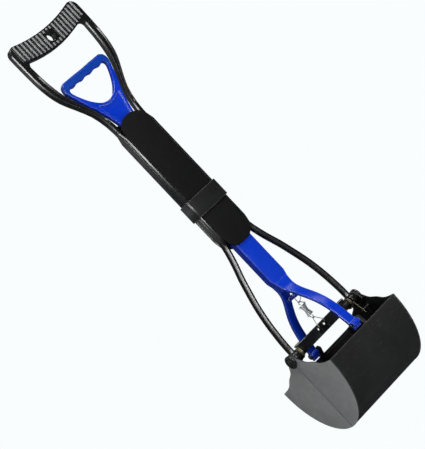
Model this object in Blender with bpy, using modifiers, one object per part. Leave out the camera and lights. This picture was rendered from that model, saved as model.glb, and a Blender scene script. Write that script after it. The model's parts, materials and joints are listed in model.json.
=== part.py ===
"""Long-handled pooper scooper, closed and at rest, hanging from the hole in its grip.

A black D-handle and a boxed stem carry two curved arms. A shell jaw swings on each side of the
pivot bolts between those arms. Squeezing the blue trigger towards the grip pulls the forked rod up
through the stem, and the fork's two ends lift the jaws' link pins, so both jaws swing open. Springs
close them again.

Every height below is measured from the jaws' pivot axis. The whole part hangs from the empty
called scooper, which puts the world's origin at the middle of the hang hole. +Z runs up the stem,
-Y is the front and X runs along the pivots.
"""

import math

import bmesh
import bpy
from mathutils import Matrix, Vector

MM = 0.001

# Clearances and overruns that all pieces share
FIT_GAP = 0.3 * MM
CUT_OVERRUN = 2.0 * MM
SEAM_INSET = 0.05 * MM
SMALL_EDGE = 0.5 * MM
SHARP_ANGLE = math.radians(38)
WELD = 0.001 * MM

# Heights above the pivot axis, from the arms up to the grip
ARM_LENGTH = 222.0 * MM
COLLAR_RISE = 24.0 * MM
COLLAR_MIDDLE_Z = ARM_LENGTH + COLLAR_RISE
SLEEVE_RAIL_LENGTH = 53.0 * MM
RAIL_END_LENGTH = 13.0 * MM
SLEEVE_RAIL_FULL_Z = COLLAR_MIDDLE_Z - SLEEVE_RAIL_LENGTH
SLEEVE_RAIL_END_Z = SLEEVE_RAIL_FULL_Z - RAIL_END_LENGTH
STEM_LENGTH = 139.0 * MM
SHOULDER_Z = COLLAR_MIDDLE_Z + STEM_LENGTH
STEM_RAIL_OVERRUN = 9.0 * MM
STEM_RAIL_TOP_Z = SHOULDER_Z + STEM_RAIL_OVERRUN
STEM_FULL_DEPTH_Z = STEM_RAIL_TOP_Z - RAIL_END_LENGTH
HANDLE_RISE = 199.5 * MM
GRIP_TOP_RISE = 8.0 * MM
GRIP_HEIGHT = 32.0 * MM
GRIP_TOP_Z = SHOULDER_Z + HANDLE_RISE - GRIP_TOP_RISE
GRIP_BOTTOM_Z = GRIP_TOP_Z - GRIP_HEIGHT
HANG_HOLE_RISE = 16.5 * MM
HANG_HOLE_Z = GRIP_BOTTOM_Z + HANG_HOLE_RISE
TRIGGER_TRAVEL = 40.0 * MM
TRIGGER_STOP_GAP = 4.0 * MM

# Stem section
STEM_HALF_WIDTH = 30.3 * MM
STEM_HALF_DEPTH = 10.0 * MM
STEM_RAIL_INNER_X = 18.3 * MM
COVER_HALF_WIDTH = 25.9 * MM
COVER_THICKNESS = 2.9 * MM
COVER_SINK = 0.2 * MM
COVER_EDGE = 0.8 * MM
RAIL_LIP_CHAMFER = 1.7 * MM
SIDE_GROOVE_Y = 5.0 * MM
SIDE_GROOVE_WIDTH = 2.2 * MM
SIDE_GROOVE_DEPTH = 0.8 * MM
RAIL_TOP_DEPTH_SHARE = 0.5
RAIL_END_WIDTH_SHARE = 0.85
RAIL_END_DEPTH_SHARE = 0.6

# D-handle
HANDLE_HALF_WIDTH = 72.2 * MM
HANDLE_HALF_DEPTH = 5.5 * MM
HANDLE_EDGE = 1.6 * MM
RAIL_WIDTH = 12.4 * MM
RAIL_SHARES = (
    (-0.05, -0.05, 0.62),
    (0.05, -0.004, 0.64),
    (0.145, 0.033, 0.62),
    (0.266, 0.183, 0.56),
    (0.376, 0.466, 0.64),
    (0.476, 0.739, 0.88),
    (0.576, 0.893, 0.99),
    (0.70, 0.972, 1.0),
    (0.89, 1.0, 1.0),
)
RAIL_STEPS = 2
RAIL_GROOVE_WIDTH_SHARE = 0.66
RAIL_GROOVE_SLOPE = 1.4 * MM
RAIL_GROOVE_DEPTH = 1.8 * MM
RAIL_GROOVE_SHARES = (0.12, 0.87)

# Grip bar
GRIP_CORNER_RADIUS = 12.0 * MM
GRIP_INNER_RADIUS = 7.0 * MM
GRIP_BOTTOM_RISE = 9.3 * MM
GRIP_CORE_HALF_DEPTH = 6.4 * MM
GRIP_CORE_END_INSET = 9.6 * MM
GRIP_CORE_HALF_LENGTH = HANDLE_HALF_WIDTH - GRIP_CORE_END_INSET
GRIP_CORE_INSET = 0.6 * MM
GRIP_CORE_EDGE = 1.7 * MM
GRIP_STEPS = 4
RIB_COUNT = 8
RIB_FIRST_X = 13.3 * MM
RIB_END_INSET = 10.3 * MM
RIB_PITCH = (HANDLE_HALF_WIDTH - RIB_END_INSET - RIB_FIRST_X) / (RIB_COUNT - 1)
RIB_WIDTH = 3.7 * MM
RIB_HALF_DEPTH = 8.9 * MM
RIB_INSET = 1.9 * MM
RIB_EDGE = 0.7 * MM
RIB_RING_GAP = 0.8 * MM
HANG_RING_RADIUS = 9.1 * MM
HANG_RING_HALF_DEPTH = 6.9 * MM
HANG_HOLE_RADIUS = 7.5 * MM

# Covers of the stem and of the lower sleeve
COVER_OVERRUN = 23.5 * MM
COVER_TOP_Z = SHOULDER_Z + COVER_OVERRUN
COVER_TOP_SHARES = ((0.0, 0.0), (0.38, 0.08), (0.80, 0.50), (0.96, 0.80), (1.0, 1.15))
COVER_TOP_CUT = 14.0 * MM
SLEEVE_OVERRUN = 13.0 * MM
SLEEVE_END_Z = SLEEVE_RAIL_END_Z - SLEEVE_OVERRUN
SLEEVE_END_SHARES = ((0.0, 0.0), (0.47, 0.06), (0.78, 0.40), (0.96, 0.85), (1.0, 1.3))
SLEEVE_END_CUT = 14.0 * MM

# Collar over the joint of the two frame halves
COLLAR_HALF_HEIGHT = 14.0 * MM
COLLAR_WALL = 1.8 * MM
COLLAR_CORNER = 3.4 * MM
COLLAR_BORE_CORNER = 0.9 * MM
CORNER_STEPS = 3

# Lower frame: two arms, their bosses and the cross bar between them
ARM_RADIUS = 5.1 * MM
ARM_SIDES_RESOLUTION = 2
ARM_STEPS = 2
ARM_FOOT_INSET = 5.2 * MM
ARM_SHARES = (
    (1.0, 0.336),
    (0.925, 0.345),
    (0.856, 0.378),
    (0.775, 0.432),
    (0.676, 0.537),
    (0.586, 0.655),
    (0.495, 0.752),
    (0.405, 0.841),
    (0.315, 0.909),
    (0.225, 0.956),
    (0.135, 0.987),
    (0.068, 0.999),
    (0.0, 1.0),
)
BOSS_RADIUS = 9.8 * MM
BOSS_LENGTH = 9.7 * MM
BOSS_EDGE = 1.0 * MM
BARREL_RADIUS = 6.0 * MM
BARREL_LENGTH = 23.0 * MM
BAR_END_INSET = 17.2 * MM
BAR_HALF_DEPTH = 2.6 * MM
BAR_BOTTOM_Z = -5.0 * MM
BAR_TOP_Z = 11.0 * MM
BAR_EDGE = 0.6 * MM
BAR_PANEL_BORDER = 2.0 * MM
BAR_PANEL_DEPTH = 0.7 * MM
BAR_PANEL_INNER_X = 12.5 * MM
BAR_PANEL_END_INSET = 8.8 * MM
BAR_WEB = 1.7 * MM
BAR_POCKET_HALF_LENGTH = 10.6 * MM
YOKE_HOLE_RADIUS = 2.2 * MM
YOKE_HOLE_X = 7.0 * MM
YOKE_HOLE_Z = 5.2 * MM

# Pivot bolts and their caps
BOLT_RADIUS = 3.0 * MM
BOLT_BORE_RADIUS = BOLT_RADIUS + FIT_GAP
BOLT_REACH = 19.7 * MM
BOLT_HEAD_RADIUS = 4.4 * MM
BOLT_HEAD_HEIGHT = 1.9 * MM
BOLT_RECESS_RADIUS = 1.5 * MM
BOLT_RECESS_DEPTH = 1.0 * MM
CAP_RADIUS = 10.4 * MM
CAP_THICKNESS = 2.9 * MM
CAP_GROOVE_RADIUS = 7.8 * MM
CAP_GROOVE_WIDTH = 1.9 * MM
CAP_GROOVE_DEPTH = 1.4 * MM
CAP_FLOOR = 1.0 * MM
CAP_EDGE = 0.9 * MM
ROUND_STEPS = 20
SMALL_ROUND_STEPS = 12

# Jaws, which set where the arms and their bosses stand
JAW_HALF_WIDTH = 78.0 * MM
JAW_PLATE = 2.2 * MM
BOSS_OUTER_X = JAW_HALF_WIDTH - 2 * JAW_PLATE - 2 * FIT_GAP
ARM_FOOT_X = BOSS_OUTER_X - ARM_FOOT_INSET
BARREL_INNER_X = BOSS_OUTER_X - BARREL_LENGTH
BOLT_INNER_X = BOSS_OUTER_X - BOLT_REACH
BAR_HALF_LENGTH = BOSS_OUTER_X - BAR_END_INSET
BAR_PANEL_OUTER_X = BAR_HALF_LENGTH - BAR_PANEL_END_INSET
JAW_WALL = 2.6 * MM
JAW_HALF_DEPTH = 71.4 * MM
JAW_RIM_Z = -29.8 * MM
JAW_DROP = 93.5 * MM
JAW_ARC_STEPS = 15
JAW_PLATE_PROUD = 0.3 * MM
JAW_RIM_BEAD = 1.0 * MM
JAW_RIM_BEAD_HEIGHT = 3.2 * MM
JAW_EDGE = 0.5 * MM
EAR_RADIUS = 9.8 * MM
EAR_ROOT_RADIUS = 17.0 * MM
EAR_ARC_STEPS = 10
EAR_BRIDGE_BITE = 0.7 * MM
PLATE_TOP_SHARES = ((0.22, 0.12), (0.29, 0.32), (0.37, 0.46), (0.53, 0.62), (0.66, 0.83), (0.79, 0.93), (0.90, 0.97))
PLATE_TOP_STEPS = 2

# Link between the jaws and the fork
LINK_INSET = 9.4 * MM
LINK_RISE = 9.8 * MM
LINK_Y = JAW_HALF_DEPTH - LINK_INSET
LINK_Z = JAW_RIM_Z + LINK_RISE
LINK_SWING_Y = 3.1 * MM
LINK_PIN_RADIUS = 2.0 * MM
LUG_INNER_X = 7.9 * MM
LUG_THICKNESS = 5.2 * MM
LUG_RADIUS = 5.4 * MM
LUG_ROOT_SHARES = ((0.985, 0.012), (0.955, 0.24))
LUG_EDGE = 0.6 * MM
PIN_HEAD_RADIUS = 3.4 * MM
PIN_HEAD_THICKNESS = 1.2 * MM
PIN_TIP = 1.1 * MM
CLIP_RADIUS = 3.5 * MM
CLIP_THICKNESS = 1.0 * MM

# Pull fork
ROD_HALF_WIDTH = 16.0 * MM
ROD_HALF_DEPTH = 6.6 * MM
ROD_EDGE = 1.3 * MM
ROD_CHANNEL_WALL = 2.6 * MM
ROD_CHANNEL_FLOOR = 3.0 * MM
ROD_CHANNEL_LOW_Z = 112.0 * MM
FORK_NECK_Z = 100.0 * MM
FORK_CROTCH_Z = 76.5 * MM
FORK_NECK_SHARES = ((1.0, 1.0), (0.72, 0.88), (0.38, 0.70), (0.0, 0.56))
STRAP_HALF_WIDTH = 7.5 * MM
STRAP_HALF_THICKNESS = 2.5 * MM
STRAP_CORNER = 0.9 * MM
STRAP_TOP_Z = 92.0 * MM
STRAP_END_Z = -27.5 * MM
STRAP_STEPS = 2
STRAP_SHARES = (
    (0.0, 0.066, 1.78),
    (0.101, 0.112, 1.40),
    (0.184, 0.214, 1.10),
    (0.268, 0.352, 1.0),
    (0.352, 0.502, 1.0),
    (0.435, 0.630, 1.0),
    (0.519, 0.731, 1.0),
    (0.603, 0.806, 1.0),
    (0.703, 0.872, 1.0),
    (0.812, 0.925, 1.0),
    (0.916, 0.972, 1.0),
    (1.0, 0.99, 1.0),
)
EYE_RADIUS = 4.5 * MM
EYE_HALF_WIDTH = 7.2 * MM
EYE_EDGE = 0.7 * MM
TAB_HALF_WIDTH = 2.6 * MM
TAB_TOP_Z = 63.6 * MM
TAB_THICKNESS = 4.4 * MM
TAB_TIP_Y = 3.2 * MM
TAB_ROOT_SHARE = 0.308
TAB_ROOT_Y = LINK_Y * TAB_ROOT_SHARE
TAB_LIP = 2.0 * MM
TAB_LIP_HEIGHT = 2.6 * MM

# Half-lap joint between the trigger and the fork, inside the stem
LAP_DROP = 50.0 * MM
LAP_LENGTH = 34.0 * MM
LAP_TOP_Z = SHOULDER_Z - LAP_DROP
LAP_BOTTOM_Z = LAP_TOP_Z - LAP_LENGTH
ROD_SCREW_SHARES = (0.74, 0.26)
ROD_SCREW_Z = tuple(LAP_BOTTOM_Z + LAP_LENGTH * up for up in ROD_SCREW_SHARES)

# Trigger
TRIGGER_HALF_DEPTH = 3.6 * MM
TRIGGER_EDGE = 1.1 * MM
LOOP_TOP_Z = GRIP_BOTTOM_Z - TRIGGER_TRAVEL - TRIGGER_STOP_GAP
LOOP_BASE_RISE = 19.0 * MM
LOOP_BASE_Z = SHOULDER_Z + LOOP_BASE_RISE
LOOP_SPREAD_SHARE = 0.747
LOOP_SPREAD = (HANDLE_HALF_WIDTH - STEM_HALF_WIDTH) * LOOP_SPREAD_SHARE
LOOP_SHARES = (
    (0.0, 0.006),
    (0.166, 0.139),
    (0.394, 0.396),
    (0.549, 0.637),
    (0.705, 0.825),
    (0.8, 0.943),
    (0.87, 1.0),
    (0.95, 0.932),
    (0.993, 0.743),
)
LOOP_STEPS = 2
LOOP_TOP_DIP = 1.0 * MM
TRIGGER_BAR = 12.9 * MM
TRIGGER_NECK = 36.5 * MM
TRIGGER_SIDE = 8.0 * MM
OPENING_TOP_Z = LOOP_TOP_Z - TRIGGER_BAR
OPENING_BOTTOM_Z = LOOP_BASE_Z + TRIGGER_NECK
OPENING_HALF_WIDTH = ROD_HALF_WIDTH + LOOP_SPREAD - TRIGGER_SIDE
OPENING_SHARES = (
    (0.0, 0.0),
    (0.036, 0.22),
    (0.11, 0.38),
    (0.24, 0.55),
    (0.38, 0.69),
    (0.55, 0.82),
    (0.72, 0.93),
    (0.87, 1.0),
    (0.965, 0.975),
    (1.0, 0.88),
)
SCALLOP_PITCH = 18.5 * MM
SCALLOP_DEPTH = 2.0 * MM
SCALLOP_STEPS = 4
PANEL_SHARES = (
    (-1.904, 0.0),
    (-1.904, 0.739),
    (0.0, 0.739),
    (0.264, 0.813),
    (0.439, 0.99),
    (0.661, 1.153),
    (0.872, 1.271),
    (1.031, 1.36),
    (1.071, 1.271),
    (0.965, 0.798),
    (0.904, 0.355),
    (0.894, 0.0),
)
PANEL_DEPTH = 1.1 * MM

# Screws
SCREW_SHANK_RADIUS = 1.5 * MM
SCREW_HEAD_RADIUS = 3.0 * MM
SCREW_HEAD_HEIGHT = 1.7 * MM
SCREW_SOCKET_RADIUS = 1.2 * MM
SCREW_SOCKET_DEPTH = 0.9 * MM
SCREW_X = 21.3 * MM
SCREW_SEAT_DEPTH = 0.3 * MM
STEM_SCREW_DROP = 17.0 * MM
STEM_SCREW_RISE = 30.0 * MM
SLEEVE_SCREW_DROP = 38.0 * MM
STEM_SCREW_Z = (SHOULDER_Z - STEM_SCREW_DROP, COLLAR_MIDDLE_Z + STEM_SCREW_RISE)
SLEEVE_SCREW_Z = COLLAR_MIDDLE_Z - SLEEVE_SCREW_DROP
SCREW_BLIND = 1.3 * MM
ROD_SCREW_LENGTH = 7.2 * MM

# Closing spring and its two yokes
CLOSER_WIRE = 0.7 * MM
CLOSER_LOW_RADIUS = 5.0 * MM
CLOSER_WAIST_RADIUS = 2.9 * MM
CLOSER_HIGH_RADIUS = 6.2 * MM
CLOSER_TAPER = 1.5
CLOSER_LOW_Z = 27.2 * MM
CLOSER_HIGH_Z = 45.6 * MM
CLOSER_TURNS = 9.75
CLOSER_EYE_RADIUS = 2.6 * MM
CLOSER_EYE_REACH = 3.7 * MM
CURL_POINTS = 8
YOKE_WIRE = 0.6 * MM
YOKE_BEND = 1.4 * MM
YOKE_SPREAD_SHARE = 0.135
UPPER_YOKE_SPREAD = LINK_Y * YOKE_SPREAD_SHARE
UPPER_YOKE_SIDE = 4.6 * MM
UPPER_YOKE_KNEE_Z = 57.0 * MM
YOKE_HOOK_DROP = 2.6 * MM
YOKE_TAIL = 1.6 * MM
WIRE_STEPS = 2

# Torsion springs on the barrels beside the arms
TORSION_WIRE = 0.7 * MM
TORSION_RADIUS = 8.0 * MM
TORSION_TURNS = 3
TORSION_PITCH = 1.84 * MM
TORSION_START_X = BAR_HALF_LENGTH + TORSION_WIRE + SMALL_EDGE
TORSION_LEG_Z = -25.0 * MM
TORSION_REST = 11.8 * MM
TORSION_REST_X = BAR_HALF_LENGTH - TORSION_REST
PEG_RADIUS = 2.2 * MM
PEG_LENGTH = 12.6 * MM
PEG_INNER_X = BOSS_OUTER_X - PEG_LENGTH
PEG_Y = 10.6 * MM
PEG_Z = -21.0 * MM

BLACK = (0.012, 0.012, 0.013)
DARK_GREY = (0.020, 0.020, 0.022)
JAW_BLACK = (0.016, 0.016, 0.018)
BLUE = (0.004, 0.034, 0.48)
STEEL = (0.58, 0.58, 0.56)
ZINC = (0.50, 0.47, 0.36)
DARK_STEEL = (0.06, 0.06, 0.065)


def clear_scene():
    for obj in list(bpy.data.objects):
        bpy.data.objects.remove(obj, do_unlink=True)


def collection(name, hidden=False):
    made = bpy.data.collections.new(name)
    bpy.context.scene.collection.children.link(made)
    made.hide_render = hidden
    return made


def material(name, colour, roughness, metallic=0.0):
    made = bpy.data.materials.new(name)
    made.use_nodes = True
    shader = made.node_tree.nodes["Principled BSDF"]
    shader.inputs["Base Color"].default_value = (*colour, 1.0)
    shader.inputs["Roughness"].default_value = roughness
    shader.inputs["Metallic"].default_value = metallic
    return made


def smooth(points, steps):
    """The points of a smooth curve that runs through all of these."""
    knots = [Vector(point) for point in points]
    ends = [2 * knots[0] - knots[1]] + knots + [2 * knots[-1] - knots[-2]]
    curve = []
    for before, start, end, after in zip(ends, ends[1:], ends[2:], ends[3:]):
        for step in range(steps):
            t = step / steps
            bend = 2 * start + (end - before) * t
            bend += (2 * before - 5 * start + 4 * end - after) * t**2
            bend += (3 * start - 3 * end + after - before) * t**3
            curve.append(bend / 2)
    return curve + [knots[-1]]


def arc(centre, radius, start, end, steps):
    """Points on a circle, with the angles in degrees."""
    points = []
    for step in range(steps + 1):
        angle = math.radians(start + (end - start) * step / steps)
        points.append((centre[0] + radius * math.cos(angle), centre[1] + radius * math.sin(angle)))
    return points


def spread(start, end, steps):
    return [start + (end - start) * step / steps for step in range(steps + 1)]


def without_straight_points(ring):
    """The ring without any point that lies on the straight line between its neighbours."""
    kept = []
    for index, point in enumerate(ring):
        before = ring[index - 1]
        after = ring[(index + 1) % len(ring)]
        along = Vector((after[0] - before[0], after[1] - before[1]))
        aside = Vector((point[0] - before[0], point[1] - before[1]))
        if abs(along.cross(aside)) > WELD * along.length:
            kept.append(point)
    return kept


def mirrored(half):
    """A ring from its right half, which starts and ends on or beside the middle line."""
    left = [(-point[0], point[1]) for point in reversed(half)]
    return [(point[0], point[1]) for point in half] + [point for point in left if abs(point[0]) > WELD]


PLANES = {
    "XZ": Matrix(((1, 0, 0, 0), (0, 0, -1, 0), (0, 1, 0, 0), (0, 0, 0, 1))),
    "YZ": Matrix(((0, 0, 1, 0), (1, 0, 0, 0), (0, 1, 0, 0), (0, 0, 0, 1))),
    "XY": Matrix.Identity(4),
}


def welded_mesh(obj, name):
    """A mesh of the object as it is evaluated, with its loose caps welded on. The object goes."""
    graph = bpy.context.evaluated_depsgraph_get()
    mesh = bpy.data.meshes.new_from_object(obj.evaluated_get(graph))
    mesh.transform(obj.matrix_world)
    bm = bmesh.new()
    bm.from_mesh(mesh)
    bmesh.ops.remove_doubles(bm, verts=bm.verts, dist=WELD)
    bmesh.ops.recalc_face_normals(bm, faces=bm.faces)
    bm.to_mesh(mesh)
    bm.free()
    mesh.name = name
    mesh.materials.clear()
    bpy.data.objects.remove(obj, do_unlink=True)
    return mesh


def place(name, mesh, where=None):
    obj = bpy.data.objects.new(name, mesh)
    (where or CUTTERS).objects.link(obj)
    if where is None:
        obj.hide_render = True
        obj.display_type = "WIRE"
    return obj


def flat_piece(name, rings, plane, half_thickness, offset=0.0, edge=0.0, segments=2):
    """A flat outline, with any holes in it, given a thickness across its plane."""
    curve = bpy.data.curves.new(name, "CURVE")
    curve.dimensions = "2D"
    curve.fill_mode = "BOTH"
    curve.extrude = half_thickness
    for ring in map(without_straight_points, rings):
        spline = curve.splines.new("POLY")
        spline.points.add(len(ring) - 1)
        for point, (across, up) in zip(spline.points, ring):
            point.co = (across, up, 0, 1)
        spline.use_cyclic_u = True
    drawn = bpy.data.objects.new(name, curve)
    CUTTERS.objects.link(drawn)
    bpy.context.view_layer.update()
    mesh = welded_mesh(drawn, name)
    mesh.transform(PLANES[plane])
    mesh.transform(Matrix.Translation(PLANES[plane].to_3x3() @ Vector((0, 0, offset))))
    merge_flat_faces(mesh)
    obj = place(name, mesh)
    if edge:
        bevel(obj, edge, segments)
    return obj


def merge_flat_faces(mesh):
    bm = bmesh.new()
    bm.from_mesh(mesh)
    flat = [edge for edge in bm.edges if len(edge.link_faces) == 2 and edge.calc_face_angle() < WELD]
    bmesh.ops.dissolve_edges(bm, edges=flat, use_verts=False)
    bmesh.ops.recalc_face_normals(bm, faces=bm.faces)
    bm.to_mesh(mesh)
    bm.free()


def box(name, low, high, edge=0.0, segments=1):
    bm = bmesh.new()
    bmesh.ops.create_cube(bm, size=1)
    size = Vector(high) - Vector(low)
    middle = (Vector(high) + Vector(low)) / 2
    bmesh.ops.scale(bm, vec=size, verts=bm.verts)
    bmesh.ops.translate(bm, vec=middle, verts=bm.verts)
    if edge:
        bmesh.ops.bevel(bm, geom=bm.edges, offset=edge, segments=segments, affect="EDGES", profile=0.5)
    mesh = bpy.data.meshes.new(name)
    bm.to_mesh(mesh)
    bm.free()
    return place(name, mesh)


def cylinder_x(name, radius, start, end, y=0.0, z=0.0, edge=0.0, steps=ROUND_STEPS):
    """A cylinder whose axis lies along X."""
    bm = bmesh.new()
    bmesh.ops.create_cone(
        bm, cap_ends=True, segments=steps, radius1=radius, radius2=radius, depth=abs(end - start)
    )
    if edge:
        rims = [rim for rim in bm.edges if any(len(face.verts) > 4 for face in rim.link_faces)]
        bmesh.ops.bevel(bm, geom=rims, offset=edge, segments=2, affect="EDGES", profile=0.5)
    turn = Matrix.Rotation(math.radians(90), 4, "Y")
    bm.transform(Matrix.Translation(((start + end) / 2, y, z)) @ turn)
    mesh = bpy.data.meshes.new(name)
    bm.to_mesh(mesh)
    bm.free()
    return place(name, mesh)


def cylinder_y(name, radius, half_length, x, z, edge=0.0, steps=ROUND_STEPS):
    """A cylinder whose axis lies along Y, through the front and the back."""
    made = cylinder_x(name, radius, -half_length, half_length, edge=edge, steps=steps)
    made.data.transform(Matrix.Translation((x, 0, z)) @ Matrix.Rotation(math.radians(90), 4, "Z"))
    return made


def bevel(obj, width, segments=2):
    modifier = obj.modifiers.new("edges", "BEVEL")
    modifier.width = width
    modifier.segments = segments
    modifier.limit_method = "ANGLE"
    modifier.angle_limit = SHARP_ANGLE


def combine(obj, other, operation):
    modifier = obj.modifiers.new(other.name, "BOOLEAN")
    modifier.operation = operation
    modifier.object = other
    modifier.solver = "EXACT"


def join(obj, *others):
    for other in others:
        combine(obj, other, "UNION")


def cut(obj, *others):
    for other in others:
        combine(obj, other, "DIFFERENCE")


def baked(obj):
    """The object's evaluated mesh, shaded smooth between its sharp edges."""
    bpy.context.view_layer.update()
    graph = bpy.context.evaluated_depsgraph_get()
    mesh = bpy.data.meshes.new_from_object(obj.evaluated_get(graph))
    mesh.name = obj.name
    mesh.shade_smooth()
    mesh.set_sharp_from_angle(angle=SHARP_ANGLE)
    return mesh


def finish(obj, name, parent, finish_material):
    """Turns a built shape into a piece of the part, hung from its parent empty."""
    return add_piece(name, baked(obj), parent, finish_material)


def add_piece(name, mesh, parent, finish_material, location=(0, 0, 0), rotation=(0, 0, 0)):
    if not mesh.materials:
        mesh.materials.append(finish_material)
    piece = place(name, mesh, PIECES)
    piece.parent = parent
    piece.location = location
    piece.rotation_euler = rotation
    return piece


def turned(name, profile, steps=ROUND_STEPS):
    """A turned shape round Z. The profile starts and ends on the axis, and runs down its outer side."""
    mesh = bpy.data.meshes.new(name)
    points = [(radius, 0, height) for radius, height in profile]
    mesh.from_pydata(points, [(i, i + 1) for i in range(len(points) - 1)], [])
    obj = place(name, mesh)
    screw = obj.modifiers.new("turn", "SCREW")
    screw.steps = steps
    screw.render_steps = steps
    screw.use_merge_vertices = True
    screw.merge_threshold = WELD
    return baked(obj)


def tube(name, points, radius, resolution=1):
    """A wire or rod along these points, with closed ends."""
    curve = bpy.data.curves.new(name, "CURVE")
    curve.dimensions = "3D"
    curve.bevel_depth = radius
    curve.bevel_resolution = resolution
    curve.use_fill_caps = True
    spline = curve.splines.new("POLY")
    spline.points.add(len(points) - 1)
    for point, place_at in zip(spline.points, points):
        point.co = (*place_at, 1)
    drawn = bpy.data.objects.new(name, curve)
    CUTTERS.objects.link(drawn)
    bpy.context.view_layer.update()
    return place(name, welded_mesh(drawn, name))


def print_least_gap(name, points, radius):
    """Prints the least gap that a wound wire leaves to itself."""
    skip = CURL_POINTS // 2
    least = min(
        (first - second).length
        for index, first in enumerate(points)
        for second in points[index + skip :]
    )
    print(f"{name}: least gap to itself {(least - 2 * radius) / MM:.2f} mm")


def grip_top(x):
    return GRIP_TOP_Z + GRIP_TOP_RISE * (x / (HANDLE_HALF_WIDTH - GRIP_CORNER_RADIUS)) ** 2


def grip_bottom(x):
    return GRIP_BOTTOM_Z + GRIP_BOTTOM_RISE * (x / (HANDLE_HALF_WIDTH - GRIP_CORNER_RADIUS)) ** 2


def handle_rail():
    """Stations up the right rail: a point on its outer edge, its inward direction and its width."""
    knots = [
        (
            STEM_HALF_WIDTH + (HANDLE_HALF_WIDTH - STEM_HALF_WIDTH) * out,
            SHOULDER_Z + HANDLE_RISE * up,
            RAIL_WIDTH * wide,
        )
        for up, out, wide in RAIL_SHARES
    ]
    points = smooth(knots, RAIL_STEPS)
    stations = []
    for index, point in enumerate(points):
        ahead = points[min(index + 1, len(points) - 1)]
        behind = points[max(index - 1, 0)]
        along = (ahead.xy - behind.xy).normalized()
        stations.append((point.xy, Vector((-along.y, along.x)), point.z))
    return stations


def handle_ring():
    stations = handle_rail()
    corner_x = HANDLE_HALF_WIDTH - GRIP_CORNER_RADIUS
    outer = [tuple(point) for point, inward, width in stations]
    corner = arc((corner_x, grip_top(corner_x) - GRIP_CORNER_RADIUS), GRIP_CORNER_RADIUS, 0, 90, 7)
    top = [(x, grip_top(x)) for x in spread(corner_x, 0, GRIP_STEPS)[1:]]
    outer_half = outer + corner + top
    inner_x = HANDLE_HALF_WIDTH - RAIL_WIDTH - GRIP_INNER_RADIUS
    inner_z = grip_bottom(inner_x) - GRIP_INNER_RADIUS
    inner = [tuple(point + inward * width) for point, inward, width in stations]
    inner = [point for point in inner if point[1] < inner_z - GRIP_INNER_RADIUS / 2]
    inner_corner = arc((inner_x, inner_z), GRIP_INNER_RADIUS, 0, 90, 4)
    under = [(x, grip_bottom(x)) for x in spread(inner_x, 0, GRIP_STEPS)[1:]]
    inner_half = inner + inner_corner + under
    left_outer = [(-x, z) for x, z in reversed(outer_half[:-1])]
    left_inner = [(-x, z) for x, z in inner_half[:-1]]
    return outer_half + left_outer + left_inner + list(reversed(inner_half))


def rail_groove_rings():
    """The band of the shallow groove that runs along each handle rail."""
    low, high = RAIL_GROOVE_SHARES
    band = [
        (point, inward, width)
        for point, inward, width in handle_rail()
        if low <= (point.y - SHOULDER_Z) / HANDLE_RISE <= high
    ]
    near_share = (1 - RAIL_GROOVE_WIDTH_SHARE) / 2
    near = [tuple(point + inward * width * near_share) for point, inward, width in band]
    far = [tuple(point + inward * width * (1 - near_share)) for point, inward, width in band]
    right = near + list(reversed(far))
    return [right, [(-x, z) for x, z in right]]


def rail_section():
    """Half of the stem's wall: a body that the rod runs between, and a lip that frames the covers."""
    lip_x = COVER_HALF_WIDTH + FIT_GAP
    body_y = STEM_HALF_DEPTH - COVER_SINK - COVER_THICKNESS - FIT_GAP
    chamfer = RAIL_LIP_CHAMFER
    groove = SIDE_GROOVE_WIDTH / 2
    front = [
        (STEM_RAIL_INNER_X, -body_y),
        (lip_x, -body_y),
        (lip_x, -STEM_HALF_DEPTH),
        (STEM_HALF_WIDTH - chamfer, -STEM_HALF_DEPTH),
        (STEM_HALF_WIDTH, chamfer - STEM_HALF_DEPTH),
        (STEM_HALF_WIDTH, -SIDE_GROOVE_Y - groove),
        (STEM_HALF_WIDTH - SIDE_GROOVE_DEPTH, -SIDE_GROOVE_Y - groove / 2),
        (STEM_HALF_WIDTH - SIDE_GROOVE_DEPTH, -SIDE_GROOVE_Y + groove / 2),
        (STEM_HALF_WIDTH, -SIDE_GROOVE_Y + groove),
    ]
    back = [(x, -y) for x, y in reversed(front)]
    return front + back


def stem_rail(name, side, start_z, full_z, end_z, end_width, end_depth):
    """One rail of the stem, full from start_z to full_z and drawn in at end_z."""
    ring = [(side * x, y) for x, y in rail_section()]
    middle = (start_z + full_z) / 2
    obj = flat_piece(name, [ring], "XY", abs(full_z - start_z) / 2, middle)
    bm = bmesh.new()
    bm.from_mesh(obj.data)
    end_faces = [face for face in bm.faces if abs(face.calc_center_median().z - full_z) < WELD]
    grown = bmesh.ops.extrude_face_region(bm, geom=end_faces)
    bmesh.ops.delete(bm, geom=end_faces, context="FACES_ONLY")
    for item in grown["geom"]:
        if isinstance(item, bmesh.types.BMVert):
            proud = max(abs(item.co.x) - COVER_HALF_WIDTH - FIT_GAP, 0)
            item.co.x -= side * proud * (1 - end_width)
            item.co.y *= end_depth
            item.co.z = end_z
    bmesh.ops.recalc_face_normals(bm, faces=bm.faces)
    bm.to_mesh(obj.data)
    bm.free()
    return obj


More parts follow.
